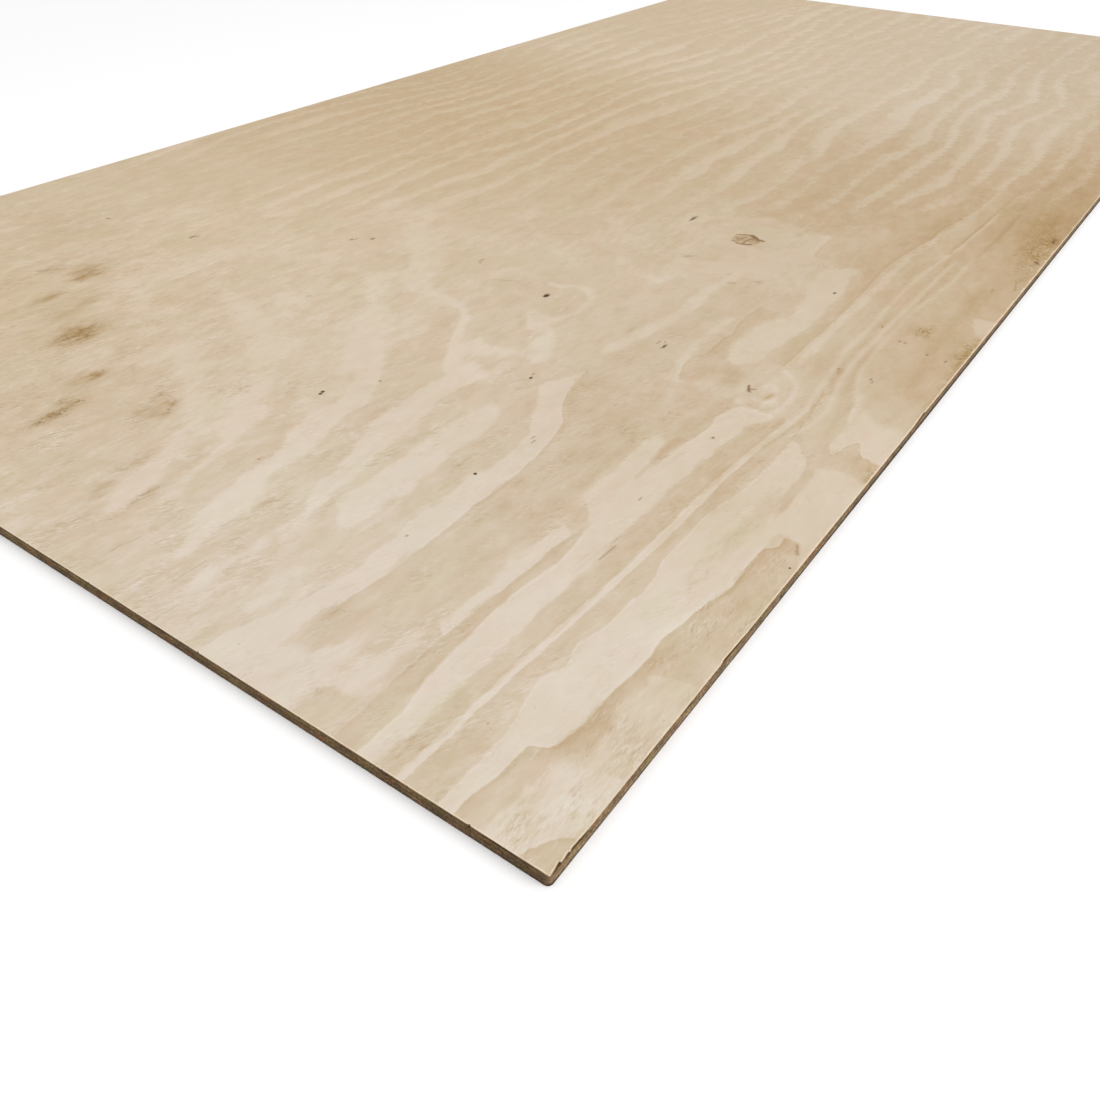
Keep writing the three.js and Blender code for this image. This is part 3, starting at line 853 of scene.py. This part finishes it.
def grain_course(across, along):
    """Across, pushed aside round pins and knots as the fibres are."""
    course = across + 6 * lattice_noise(across, along, (160, 500), 21)
    for a, v, half_width, half_length in KNOTS + [pin[:4] for pin in PINS if pin[4] > DARK_PIN]:
        reach = 2.5 * half_width
        away = (across - a) ** 2 + ((along - v) / 3) ** 2 + reach**2
        course -= 1.2 * reach**2 * (across - a) / away
    return course


# ---------------------------------------------------------------- geometry

TINY = 1e-6  # as good as nothing, for a distance in metres or the length of a direction
FLAT = 0.001  # the angle under which two faces are one, in radians
HAIR = 1e-5  # a wall that passes a cut by less than this, in metres, isn't cut
WALL_STEP = 2.5  # spacing of the cuts across a sawn wall near the corner, and far from it
WALL_STEP_FAR = 9.0
WALL_STEP_GROWTH = 1.1
WALL_NEAR = 700.0
RIM_DROP = 0.35  # how far in from a ply's faces its walls start to ease, in millimetres
SAW_WAVE = 0.10  # how far the waves of the saw take a wall back, in millimetres
END_TEAR = 0.16  # and torn end grain, torn long grain, and the ease of the rims
SIDE_TEAR = 0.07
RIM_EASE = 0.22
FACE_STEP = 2.5  # spacing of the face's points at the corner
FACE_STEP_SHARE = 1 / 141  # and its growth with distance from there
ROW_STEP = 0.87  # the spacing of their rows, as a share of that
PIN_RINGS = (0.0, 0.4, 0.7, 0.95, 1.2, 1.6)  # the rings of points on a pin, as shares of its size
PIN_POINTS = 10  # and the points on each
KNOT_RINGS = np.arange(0, 1.6, 0.1)
KNOT_POINTS = 40
LINE_STEP = 6.0  # spacing of the points along a fine line
LINE_ROWS = (-2.0, -1.2, -0.6, 0.0, 0.6, 1.2, 2.0)  # and of their rows across it, in half-widths
RIM_FALL = 0.2  # how far the saw has brought the face's border down, in millimetres
RIM_WIDTH = 0.6
HIGHLIGHT_WIDTH = 1.4  # the width of the band with the painted highlight beside that
HIGHLIGHT_WANDER = 0.02  # and the size of its uneven stretches, in metres
FACE_MARGIN = 3.8  # the face's own points keep this far inside its border
RELIEF = 0.10  # how proud latewood stands, in millimetres
PIN_DEPTH = 0.8
KNOT_DEPTH = 0.5
SWELL = 0.12  # how far the face rolls
ON_TOP = 0.01  # points this close to the face's top are on it
INSIDE_ONLY = 1  # what the net is to have: triangles inside the outline only
SLACK = 1e-7


def place_on_face(x, y):
    """(across, along) in millimetres of points given in metres."""
    return (CAD_HIGH.x - x) / MM, (y - CAD_LOW.y) / MM


def open_mesh(node):
    """A node's mesh with points merged and flat faces whole, and room for one value on each point."""
    mesh = bmesh.new()
    mesh.from_mesh(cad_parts[node].data)
    mesh.verts.layers.float.new("rim")
    bmesh.ops.remove_doubles(mesh, verts=mesh.verts, dist=TINY)
    bmesh.ops.dissolve_limit(mesh, angle_limit=FLAT, verts=mesh.verts, edges=mesh.edges)
    return mesh


def cut_places(near_end, far_end):
    """Places in metres along an edge, close together by the near end and sparser past WALL_NEAR."""
    way = 1 if far_end > near_end else -1
    places, place, step = [], near_end, WALL_STEP
    while True:
        if abs(place - near_end) > WALL_NEAR * MM:
            step = min(step * WALL_STEP_GROWTH, WALL_STEP_FAR)
        place += way * step * MM
        if (far_end - place) * way < WALL_STEP * MM:
            return sorted(places)
        places.append(place)


def is_wall(face):
    return abs(face.normal.z) < 0.5


def cut_once(mesh, faces, point, normal):
    """Cuts the given faces by a plane and returns the faces that the cut made."""
    parts = set(faces)
    for face in faces:
        parts.update(face.edges)
        parts.update(face.verts)
    made = bmesh.ops.bisect_plane(mesh, geom=list(parts), dist=TINY, plane_co=point, plane_no=normal)
    return [part for part in made["geom"] if isinstance(part, bmesh.types.BMFace)]


def slice_walls(mesh, axis, places):
    """Cuts the walls by planes square to an axis, from the lowest place up."""
    normal = Vector([float(i == axis) for i in range(3)])
    waiting = {face for face in mesh.faces if is_wall(face)}
    for place in places:
        beyond = {face for face in waiting if max(v.co[axis] for v in face.verts) > place + HAIR}
        crossing = [face for face in beyond if min(v.co[axis] for v in face.verts) < place - HAIR]
        if crossing:
            beyond.update(cut_once(mesh, crossing, normal * place, normal))
        waiting = beyond


def wall_outwards(mesh):
    """The level direction out of the wall at each of its points."""
    outwards = {}
    for face in mesh.faces:
        if is_wall(face):
            level = Vector((face.normal.x, face.normal.y, 0)).normalized()
            for vert in face.verts:
                outwards[vert] = outwards.get(vert, Vector()) + level
    return {vert: level.normalized() for vert, level in outwards.items() if level.length > TINY}


def uneven(place, size):
    """Noise from -1 to 1 at a place, with cells of the given size."""
    return noise.noise([at / cell for at, cell in zip(place, size)])


def sawn_depth(place, low, high, end_grain):
    """How far the saw and time have taken the wall back at a place in millimetres, in millimetres."""
    x, y, z = place
    wave = SAW_WAVE * (1 + uneven(place, (45, 45, 9)))
    if end_grain:
        here = 0.5 + 0.5 * uneven((x, y, 3), (20, 20, 1))
        torn = END_TEAR * (1 + uneven(place, (2.2, 2.2, 1.6))) * here
    else:
        torn = SIDE_TEAR * (1 + uneven(place, (9, 9, 0.8)))
    rim = min(high - z, z - low) / RIM_DROP
    return wave + abs(torn) + RIM_EASE * max(0.0, 1 - rim) * (1.2 + uneven(place, (5, 5, 2)))


def roughen_walls(mesh, low, high, end_grain_sides):
    """Slices the walls finely and takes them back unevenly. End grain shows on the X sides or the Y ends."""
    slice_walls(mesh, 1, cut_places(CAD_LOW.y, CAD_HIGH.y))
    slice_walls(mesh, 0, cut_places(CAD_HIGH.x, CAD_LOW.x))
    slice_walls(mesh, 2, [low.z + RIM_DROP * MM, (low.z + high.z) / 2, high.z - RIM_DROP * MM])
    mesh.normal_update()
    moves = []
    for vert, outward in wall_outwards(mesh).items():
        side = abs(outward.x) > abs(outward.y)
        end_grain = side == (end_grain_sides == "x")
        depth = sawn_depth(vert.co / MM, low.z / MM, high.z / MM, end_grain)
        moves.append((vert, outward * (-depth * MM)))
    for vert, move in moves:
        vert.co += move


def finish_mesh(mesh, name, node):
    """The piece that a finished mesh makes, in the place of its packed ply."""
    data = bpy.data.meshes.new(name)
    mesh.to_mesh(data)
    mesh.free()
    piece = placed(name, data)
    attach(piece, "root")
    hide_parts(node)
    return piece


def fan_points():
    """Points over the face, close together by the near corner and sparser with distance from it."""
    radius, turn, rings = FACE_STEP, 0.0, []
    while radius < math.hypot(WIDTH, LENGTH):
        step = max(FACE_STEP, radius * FACE_STEP_SHARE)
        count = max(3, round(radius * math.pi / 2 / step))
        angles = (np.arange(count) + 0.25 + turn) / count * math.pi / 2
        rings.append(np.stack([radius * np.cos(angles), radius * np.sin(angles)], 1))
        radius += step * ROW_STEP
        turn = 0.5 - turn
    return np.concatenate(rings)


def spot_points():
    """Rings of points round each pin and knot, so that its dish is true."""
    points = []
    rings = [(*pin[:4], size, PIN_POINTS) for pin in PINS for size in PIN_RINGS]
    rings += [(*knot, size, KNOT_POINTS) for knot in KNOTS for size in KNOT_RINGS]
    for a, v, half_width, half_length, size, count in rings:
        for turn in np.arange(count if size else 1) / count * 2 * math.pi:
            across = a + half_width * size * math.cos(turn)
            points.append((across, v + half_length * size * math.sin(turn)))
    return np.array(points)


def line_points():
    """Rows of points beside each fine line and mark, so that its profile is true."""
    points = []
    for _, half_width, path in LINES + MARKS:
        for (a0, v0), (a1, v1) in zip(path, path[1:]):
            run = math.hypot(a1 - a0, v1 - v0)
            away = Vector((v1 - v0, a0 - a1)) / run
            step = min(LINE_STEP, 2.2 * half_width)
            for share in np.arange(0, 1, min(1, step / run)):
                for row in LINE_ROWS:
                    shift = away * (row * half_width)
                    points.append((a0 + (a1 - a0) * share + shift.x, v0 + (v1 - v0) * share + shift.y))
    return np.array(points)


def cap_points():
    """All of the points that the face has inside its border."""
    points = np.concatenate([fan_points(), spot_points(), line_points()])
    across, along = points.T
    inside = (across > FACE_MARGIN) & (across < WIDTH - FACE_MARGIN)
    return points[inside & (along > FACE_MARGIN) & (along < LENGTH - FACE_MARGIN)]


def border_rings(outline):
    """Two rings of points inside an outline, a list of 2-D vectors that runs counterclockwise, in metres."""
    near, far = [], []
    for before, here, after in zip(outline[-1:] + outline, outline, outline[1:] + outline[:1]):
        inwards = (after - before).normalized().orthogonal()
        along = place_on_face(here.x, here.y)[1]
        wander = uneven((here.x, here.y, 5), (HIGHLIGHT_WANDER, HIGHLIGHT_WANDER, 1))
        width = HIGHLIGHT_WIDTH + 0.7 * smoothstep(along, 150, 600) + 0.5 * wander
        near.append(here + inwards * (RIM_WIDTH * MM))
        far.append(here + inwards * (width * MM))
    return near, far


def cap_face(mesh, top):
    """Replaces the flat top by a fine net of triangles with the same rim, and marks the band along its border
    where a highlight is painted.
    """
    height = top.verts[0].co.z
    rim = [loop.vert for loop in top.loops]
    mesh.faces.remove(top)
    outline = [Vector((vert.co.x, vert.co.y)) for vert in rim]
    near, far = border_rings(outline)
    inner = [Vector((CAD_HIGH.x - a * MM, CAD_LOW.y + v * MM)) for a, v in cap_points()]
    edges = [(i, (i + 1) % len(rim)) for i in range(len(rim))]
    net = delaunay_2d_cdt(outline + near + far + inner, edges, [], INSIDE_ONLY, SLACK)
    points, _, faces, *_ = net
    verts = rim + [mesh.verts.new((p.x, p.y, height)) for p in points[len(rim):]]
    broken = mesh.verts.layers.float["rim"]
    # How strongly the highlight is painted along the border: full at the rim, less at the ring inside it, and
    # more further along.
    for i, vert in enumerate(verts[: 2 * len(rim)]):
        highlight_share = 1.0 if i < len(rim) else 0.8
        vert[broken] = highlight_share * (0.85 + 0.15 * smoothstep(place_on_face(*vert.co.xy)[1], 100, 400))
    for vert in rim:
        vert.co.z -= RIM_FALL * MM
    for face in faces:
        mesh.faces.new([verts[i] for i in face]).smooth = True


def face_piece():
    """The face veneer, with points enough over its top to carry the figure of the wood."""
    node = "face_veneer"
    low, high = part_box(node)
    mesh = open_mesh(node)
    roughen_walls(mesh, low, high, "y")
    top = max((face for face in mesh.faces if face.normal.z > 0.5), key=lambda face: face.calc_area())
    cap_face(mesh, top)
    bmesh.ops.recalc_face_normals(mesh, faces=mesh.faces)
    piece = finish_mesh(mesh, "face_veneer_dressed", node)
    draw_figure(piece.data, high.z)
    return piece


def draw_figure(data, top):
    """Gives the face's points their values, and raises or sinks them by what they show."""
    places = np.empty(len(data.vertices) * 3)
    data.vertices.foreach_get("co", places)
    places = places.reshape(-1, 3)
    across, along = place_on_face(places[:, 0], places[:, 1])
    inside, tone, brink = band_values(across, along)
    trend, figure = figure_values(across, along)
    stain, specks = stain_values(across, along)
    values = {
        "band": inside,
        "band_tone": tone,
        "brink": brink,
        "trend": trend,
        "figure": figure,
        "lines": drawn_lines(across, along, LINES),
        "stain": stain,
        "specks": specks,
        "char": np.minimum(drawn_lines(across, along, MARKS), 1),
        "torn": torn_values(across, along),
        "pin": pin_values(across, along),
        "knot": knot_values(across, along),
        "course": grain_course(across, along),
    }
    for name, value in values.items():
        attribute = data.attributes.new(name, "FLOAT", "POINT")
        attribute.data.foreach_set("value", value.astype(np.float32))
    relief = RELIEF * (smoothstep(inside, -1, 1) - 1) - PIN_DEPTH * smoothstep(values["pin"], 0.3, 1.1)
    relief += SWELL * lattice_noise(across, along, (14, 40), 31) - SWELL
    relief -= KNOT_DEPTH * smoothstep(values["knot"], 1.05, 0.9)
    on_top = places[:, 2] > top - ON_TOP * MM
    places[on_top, 2] += relief[on_top] * MM
    data.vertices.foreach_set("co", places.ravel())
    data.update()


def ply_piece(node, end_grain_sides):
    """A ply below the face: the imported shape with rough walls."""
    low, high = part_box(node)
    mesh = open_mesh(node)
    roughen_walls(mesh, low, high, end_grain_sides)
    return finish_mesh(mesh, node + "_dressed", node)


# ---------------------------------------------------------------- materials

# The face's colours by tone.
TONES = [
    (-0.4, srgb(229, 217, 202)),
    (0.0, srgb(222, 208, 191)),
    (0.5, srgb(213, 196, 173)),
    (1.0, srgb(204, 184, 156)),
    (1.3, srgb(198, 174, 143)),
    (1.8, srgb(186, 158, 120)),
    (2.4, srgb(164, 130, 90)),
]
# The change of tone at places in millimetres past a crisp border: a painted highlight on the pale side, and
# painted shade with the latewood's own darker edge inside.
BORDER_LIGHT_AND_SHADE = [(-4, 0), (-1.8, -0.10), (-0.6, -0.12), (0.5, 0.16), (1.6, 0.13), (4.5, 0)]

ROSE = (1.035, 0.965, 0.965, 1.0)  # what pinkish wood multiplies a colour by
OLIVE = (0.965, 1.02, 0.93, 1.0)
AMBER = (1.04, 1.0, 0.92, 1.0)  # and what the light has done to the wood further in
AGED = (250, 900)  # millimetres across where that begins and is full
KNOT_TAN = srgb(196, 168, 130)
UMBER = srgb(128, 96, 58)
PIN_DARK = srgb(52, 34, 20)
STAIN_CLOUD = srgb(170, 137, 86)
STAIN_SPECK = srgb(124, 96, 54)
STAIN_PALE = srgb(216, 193, 148)
# The colour of the painted highlight along the face's sawn border.
BORDER_HIGHLIGHT = srgb(236, 217, 190)
GLUE_FILM = srgb(104, 78, 51)
MATT = 0.25  # the strength of the wood's reflections

# The colour of each ply's walls: on the long edges in the light, and on the ends.
WALLS = {
    "face_veneer": dict(sides=(150, 126, 96), ends=(126, 103, 70)),
    "upper_core_ply": dict(sides=(146, 119, 85), ends=(134, 108, 74)),
    "lower_core_ply": dict(sides=(154, 131, 104), ends=(128, 104, 76)),
    # The back veneer's are darker, partly for its own wood and partly as painted shade low on the walls.
    "back_veneer": dict(sides=(128, 106, 80), ends=(116, 94, 66)),
}
SHADE_STEPS = ((-1.4, 0.5), (-0.4, 0.84), (0.4, 1.1), (1.4, 1.42))  # where a wall's shades are, and how light
SHADE_REACH = (-1.5, 1.5)
RUST = (1.30, 0.93, 0.74, 1.0)  # what reddish and greenish stretches multiply a wall's colour by
MOSS = (0.88, 1.02, 0.70, 1.0)
GLUE = srgb(66, 48, 32)
GLUE_FROM, GLUE_FULL = 0.40, 0.10  # millimetres from a glued rim
# A dark brown: the painted shadow at the sheet's foot, and the end darkened beside the corner.
DARK_BROWN = srgb(52, 38, 25)
FOOT_SHADE_ALONG = (200, 500)  # millimetres along the long edge where the painted shadow at its foot begins, and is full
FOOT_SHADE_HIGH = (0.9, 4.7)  # and how high it reaches before that and after it
# Painted shade at the foot of the long edge, under the crushed corner.
CORNER_SHADE = srgb(40, 30, 22)
CORNER_WEAR = srgb(150, 126, 94)


def torn_fibres(grain, share, straight=0.0):
    """Fine texture of the peeled wood about 0: soft blotches, and strokes for the share that the knife tore.

    Where straight is 1, the strokes follow the grain.
    """
    blotch = grain.noise((13, 30, 20), detail=3, twist=0.4, shift=1.0)
    streaks = grain.turned(-8).noise((3.4, 16, 20), roughness=0.6, shift=3.0)
    strokes = grain.turned(-24).noise((1.7, 7.5, 20), detail=3, roughness=0.6, shift=4.0)
    curls = grain.turned(-48).noise((1.5, 5, 20), roughness=0.6, twist=0.5, shift=4.2)
    along = grain.turned(4).noise((1.5, 6, 20), detail=3, roughness=0.6, shift=4.4)
    gathered = grain.noise((17, 42, 20), detail=3, shift=4.5)
    tearing = curls.blend(strokes, gathered.step(0.1, 0.5)).blend(along, straight)
    torn = gathered.step(-0.3, 0.8) * share
    return blotch * 0.32 + streaks * 0.14 * share + tearing * torn.fit(0, 1.5, 0.10, 1.0)


def flecks(grain):
    """Small crisp specks in tone, dark and pale."""
    gathered = grain.noise((40, 70, 20), shift=14.0).step(-0.1, 0.7)
    dark = grain.noise((1.9, 3.4, 20), shift=15.0).step(0.7, 1.2)
    pale = grain.noise((1.6, 4, 20), shift=16.0).step(0.8, 1.3)
    return gathered * (dark * 0.8 + pale * -0.5)


def peeled_figure(graph, grain):
    """Tone of the peeled face, and its height in millimetres."""
    ragged = grain.noise((7, 16, 20), detail=3) * 1.2 + grain.noise((1.6, 4.5, 20)) * 0.5
    torn = graph.point_value("torn")
    beside_edge = graph.point_value("course").step(62, 40)
    texture = torn_fibres(grain, torn, beside_edge) * torn.fit(0.5, 1.0, 0.7, 1.0)
    inside = (graph.point_value("band") + ragged).step(-1, 1)
    figure = graph.point_value("figure") + ragged * 0.14 + texture * 0.3
    extra = (figure - 1.0).math("MAXIMUM", 0.0)
    ground = figure.fit(0.2, 0.8, 0.0, 0.44, way="SMOOTHSTEP") + extra * 0.40
    shade = (figure.fit(0, 2, 0, 2) - 1.0) * 0.3
    own = ground.blend(graph.point_value("band_tone") + shade, inside)

    brink = graph.point_value("brink") + ragged * CRISP
    # Painted highlight and shade along each crisp border, with the fine lines.
    lines = brink.curve(BORDER_LIGHT_AND_SHADE) + graph.point_value("lines")
    grained = texture * own.fit(0.0, 0.45, 0.48, 0.80) + flecks(grain)
    tone = graph.point_value("trend") + own + lines + grained
    return tone, own * 0.12 + lines * -0.25 + grained * 0.40


def stained(graph, colour, grain):
    """Brown clouds that break into dark specks, over a colour."""
    stain, specks = graph.point_value("stain"), graph.point_value("specks")
    cloudy = stain + stain * grain.noise((7, 16, 20), detail=4, shift=6.0) * 0.6
    colour = colour.mix(STAIN_CLOUD, cloudy.step(0.0, 1.35))
    fine = grain.turned(-30).noise((1.4, 2.4, 20), roughness=0.6, shift=7.0)
    coarse = grain.turned(-30).noise((4, 8, 20), roughness=0.6, shift=7.5)
    speckle = fine * 1.1 + coarse * 0.5
    pale = speckle.step(-0.3, -1.0) * specks.step(0.1, 0.5)
    colour = colour.mix(STAIN_PALE, pale * 0.6)
    spotted = (speckle + specks * 1.1).step(0.9, 1.5)
    return colour.mix(STAIN_SPECK, spotted * specks.step(0.05, 0.4) * 0.7)


def knotted(graph, colour, where):
    """Knots with a warm heart, dark marks, and pins of dead wood, over a colour."""
    knot = graph.point_value("knot") + where.noise((6, 6, 20), detail=4, shift=8.0) * 0.16
    heart = where.noise((7, 9, 20), detail=3, roughness=0.6, shift=9.0)
    colour = colour.mix(KNOT_TAN, knot.step(1.08, 0.92) * 0.7)
    colour = colour.mix(UMBER, knot.step(1.1, 0.7) * heart.step(-0.6, 0.9) * 0.55)
    char = graph.point_value("char") + where.noise((2, 4, 20), shift=9.2) * 0.10
    colour = colour.mix(UMBER, char.fit(0.12, 0.95, 0.0, 0.85))
    pin = graph.point_value("pin") + where.noise((2, 3, 20), shift=9.5) * 0.12
    colour = colour.mix(UMBER, pin.step(0.18, 0.45) * 0.45)
    return colour.mix(PIN_DARK, pin.step(0.5, 0.85) * 0.9)


def surface(graph, colour, roughness, height, depth, strength):
    """Gives the material its colour, its roughness, and a bump whose height counts in units of depth."""
    bump = graph.made("ShaderNodeBump", Height=height, Distance=depth, Strength=strength)
    finish = dict(Roughness=roughness, Specular_IOR_Level=MATT)
    wood = graph.made("ShaderNodeBsdfPrincipled", Base_Color=colour, Normal=bump, **finish)
    graph.made("ShaderNodeOutputMaterial", Surface=wood)


def face_material():
    """The face veneer's wood: its figure on top, a painted highlight along its border, its sawn walls, and
    glue beneath.
    """
    material, graph = new_material("face_wood")
    where = graph.place()
    course = graph.point_value("course") * MM
    grain = graph.made("ShaderNodeCombineXYZ", course, where.part("Y"), where.part("Z"))

    tone, height = peeled_figure(graph, grain)
    fine_hue = grain.noise((15, 38, 20), detail=3, roughness=0.6, shift=5.0)
    broad_hue = grain.noise((60, 80, 20), shift=5.5)
    hue = fine_hue * 0.8 + broad_hue * 0.6
    aged = where.part("X").fit(*(CAD_HIGH.x - across * MM for across in AGED))
    colour = tone.ramp(TONES)
    colour = colour.mix(ROSE, hue.fit(0.0, 0.8, 0.0, 0.4), "MULTIPLY")
    colour = colour.mix(OLIVE, hue.fit(0.0, -0.8, 0.0, 0.4), "MULTIPLY")
    colour = colour.mix(AMBER, aged, "MULTIPLY")
    colour = knotted(graph, stained(graph, colour, grain), where)

    faces_up = graph.facing("Z")
    # Painted highlight: a cream line along the face's sawn border, unevenly wide.
    chipped = where.noise((6, 6, 6), detail=4, roughness=0.7, shift=17.0)
    broken = graph.point_value("rim") + chipped * 0.3
    colour = colour.mix(wall_colour(graph, where, "face_veneer"), faces_up.step(0.75, 0.45))
    colour = colour.mix(BORDER_HIGHLIGHT, broken.step(0.3, 0.9) * 0.8)
    colour = colour.mix(GLUE_FILM, faces_up.step(-0.2, -0.6))
    surface(graph, colour, tone.fit(0, 1.2, 0.66, 0.76), height, depth=1.0 * MM, strength=0.8)
    return material


def shades(*colour):
    """Stops for a wall's ramp: a colour with its darker and lighter shades."""
    return [(at, srgb(*(level * light for level in colour))) for at, light in SHADE_STEPS]


def wall_colour(graph, where, ply):
    """A sawn wall: mottled and streaked wood with glue on its rims, painted shadow at its foot, and a worn
    corner.
    """
    low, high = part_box(ply)
    side = graph.facing("X").math("ABSOLUTE").step(0.5, 0.8)
    speckle = where.noise((2.3, 2.3, 1.5), roughness=0.7, shift=10.0)
    streaks = where.noise((11, 11, 0.7), roughness=0.6, shift=11.0)
    patches = where.noise((15, 15, 5), roughness=0.6, shift=11.5)
    shade = speckle * 1.2 + streaks * 0.3 + patches * 0.8
    sides, ends = (shade.ramp(shades(*WALLS[ply][part]), SHADE_REACH) for part in ("sides", "ends"))
    hue = where.noise((20, 20, 7), roughness=0.6, shift=12.0)
    colour = ends.mix(sides, side)
    colour = colour.mix(RUST, hue.fit(0.1, 0.8), "MULTIPLY")
    colour = colour.mix(MOSS, hue.fit(-0.1, -0.8), "MULTIPLY")
    return worn_and_shaded_corner(where, glued(where, colour, side, low.z, high.z))


def glued(where, colour, side, low, high):
    """Glue lines along a ply's rims where it meets the next, and painted shadow at the sheet's foot, over a
    colour.
    """
    height = where.part("Z") + where.noise((5, 5, 5), detail=3, roughness=0.6, shift=12.5) * (0.25 * MM)
    rims = [(z, way) for z, way in ((low, MM), (high, -MM)) if CAD_LOW.z + MM < z < CAD_HIGH.z - MM]
    glue = sum(height.step(z + GLUE_FROM * way, z + GLUE_FULL * way) for z, way in rims)
    colour = colour.mix(GLUE, glue * side.fit(0, 1, 0.5, 0.35))
    # Painted shadow: the long sides a little darker further along, and a dark band at the foot of every wall,
    # higher there.
    away = where.part("Y").step(*(CAD_LOW.y + along * MM for along in FOOT_SHADE_ALONG))
    foot = (away * side).fit(0, 1, *(high_up * MM for high_up in FOOT_SHADE_HIGH))
    depth = (foot + height * -1.0).math("DIVIDE", MM)
    colour = colour.mix(DARK_BROWN, away * side * 0.12)
    return colour.mix(DARK_BROWN, depth.step(-0.4, 0.5) * 0.93)


def worn_and_shaded_corner(where, colour):
    """The crushed corner, rubbed pale at its edge, darker on the end beside it, and with painted shade low on
    the long edge under it, over a colour.
    """
    from_side = (where.part("X") - CAD_HIGH.x) * (-1 / MM)
    from_end = (where.part("Y") - CAD_LOW.y) * (1 / MM)
    height = (where.part("Z") - CAD_LOW.z) * (1 / MM)
    near = from_side.math("MAXIMUM", from_end) + where.noise((3, 3, 3), detail=3, shift=18.0) * 1.2
    colour = colour.mix(DARK_BROWN, from_side.step(32, 8) * from_end.step(4, 1) * 0.30)
    colour = colour.mix(CORNER_WEAR, near.step(4.5, 2.2) * 0.55)
    # Painted shade at the foot of the long edge, under the crushed corner.
    foot_shade_by_corner = from_end.step(9, 5) * from_side.step(3.0, 1.5)
    return colour.mix(CORNER_SHADE, foot_shade_by_corner * height.step(4.2, 2.2) * 0.85)


def underside(where):
    """The back veneer's outer face: peeled wood with broken rings along its grain."""
    wander = where.noise((220, 700, 20), shift=20.0)
    rings = where.noise((34, 380, 20), detail=3, roughness=0.55, twist=0.5, shift=20.5)
    tone = rings.fit(-0.5, 0.6, 0.25, 1.15) + wander * 0.2 + torn_fibres(where, 1.0) * 0.5
    return tone.ramp(TONES)


def ply_material(ply):
    """A core ply's or the back veneer's wood: sawn walls, and glue where it meets the next ply."""
    material, graph = new_material(ply + "_wood")
    where = graph.place()
    faces_up = graph.facing("Z")
    beneath = underside(where) if ply == "back_veneer" else GLUE_FILM
    colour = wall_colour(graph, where, ply).mix(GLUE_FILM, faces_up.step(0.4, 0.8))
    colour = colour.mix(beneath, faces_up.step(-0.4, -0.8))
    torn = where.noise((1.5, 1.5, 1.5), detail=3, shift=13.0)
    surface(graph, colour, 0.82, torn, depth=0.15 * MM, strength=0.6)
    return material


# ---------------------------------------------------------------- the scene

bpy.context.scene.view_settings.view_transform = "Standard"
make_camera()
make_light()
make_floor()
face = face_piece()
face.data.materials.clear()
face.data.materials.append(face_material())
for node, sides in (("upper_core_ply", "x"), ("lower_core_ply", "x"), ("back_veneer", "y")):
    piece = ply_piece(node, sides)
    piece.data.materials.clear()
    piece.data.materials.append(ply_material(node))
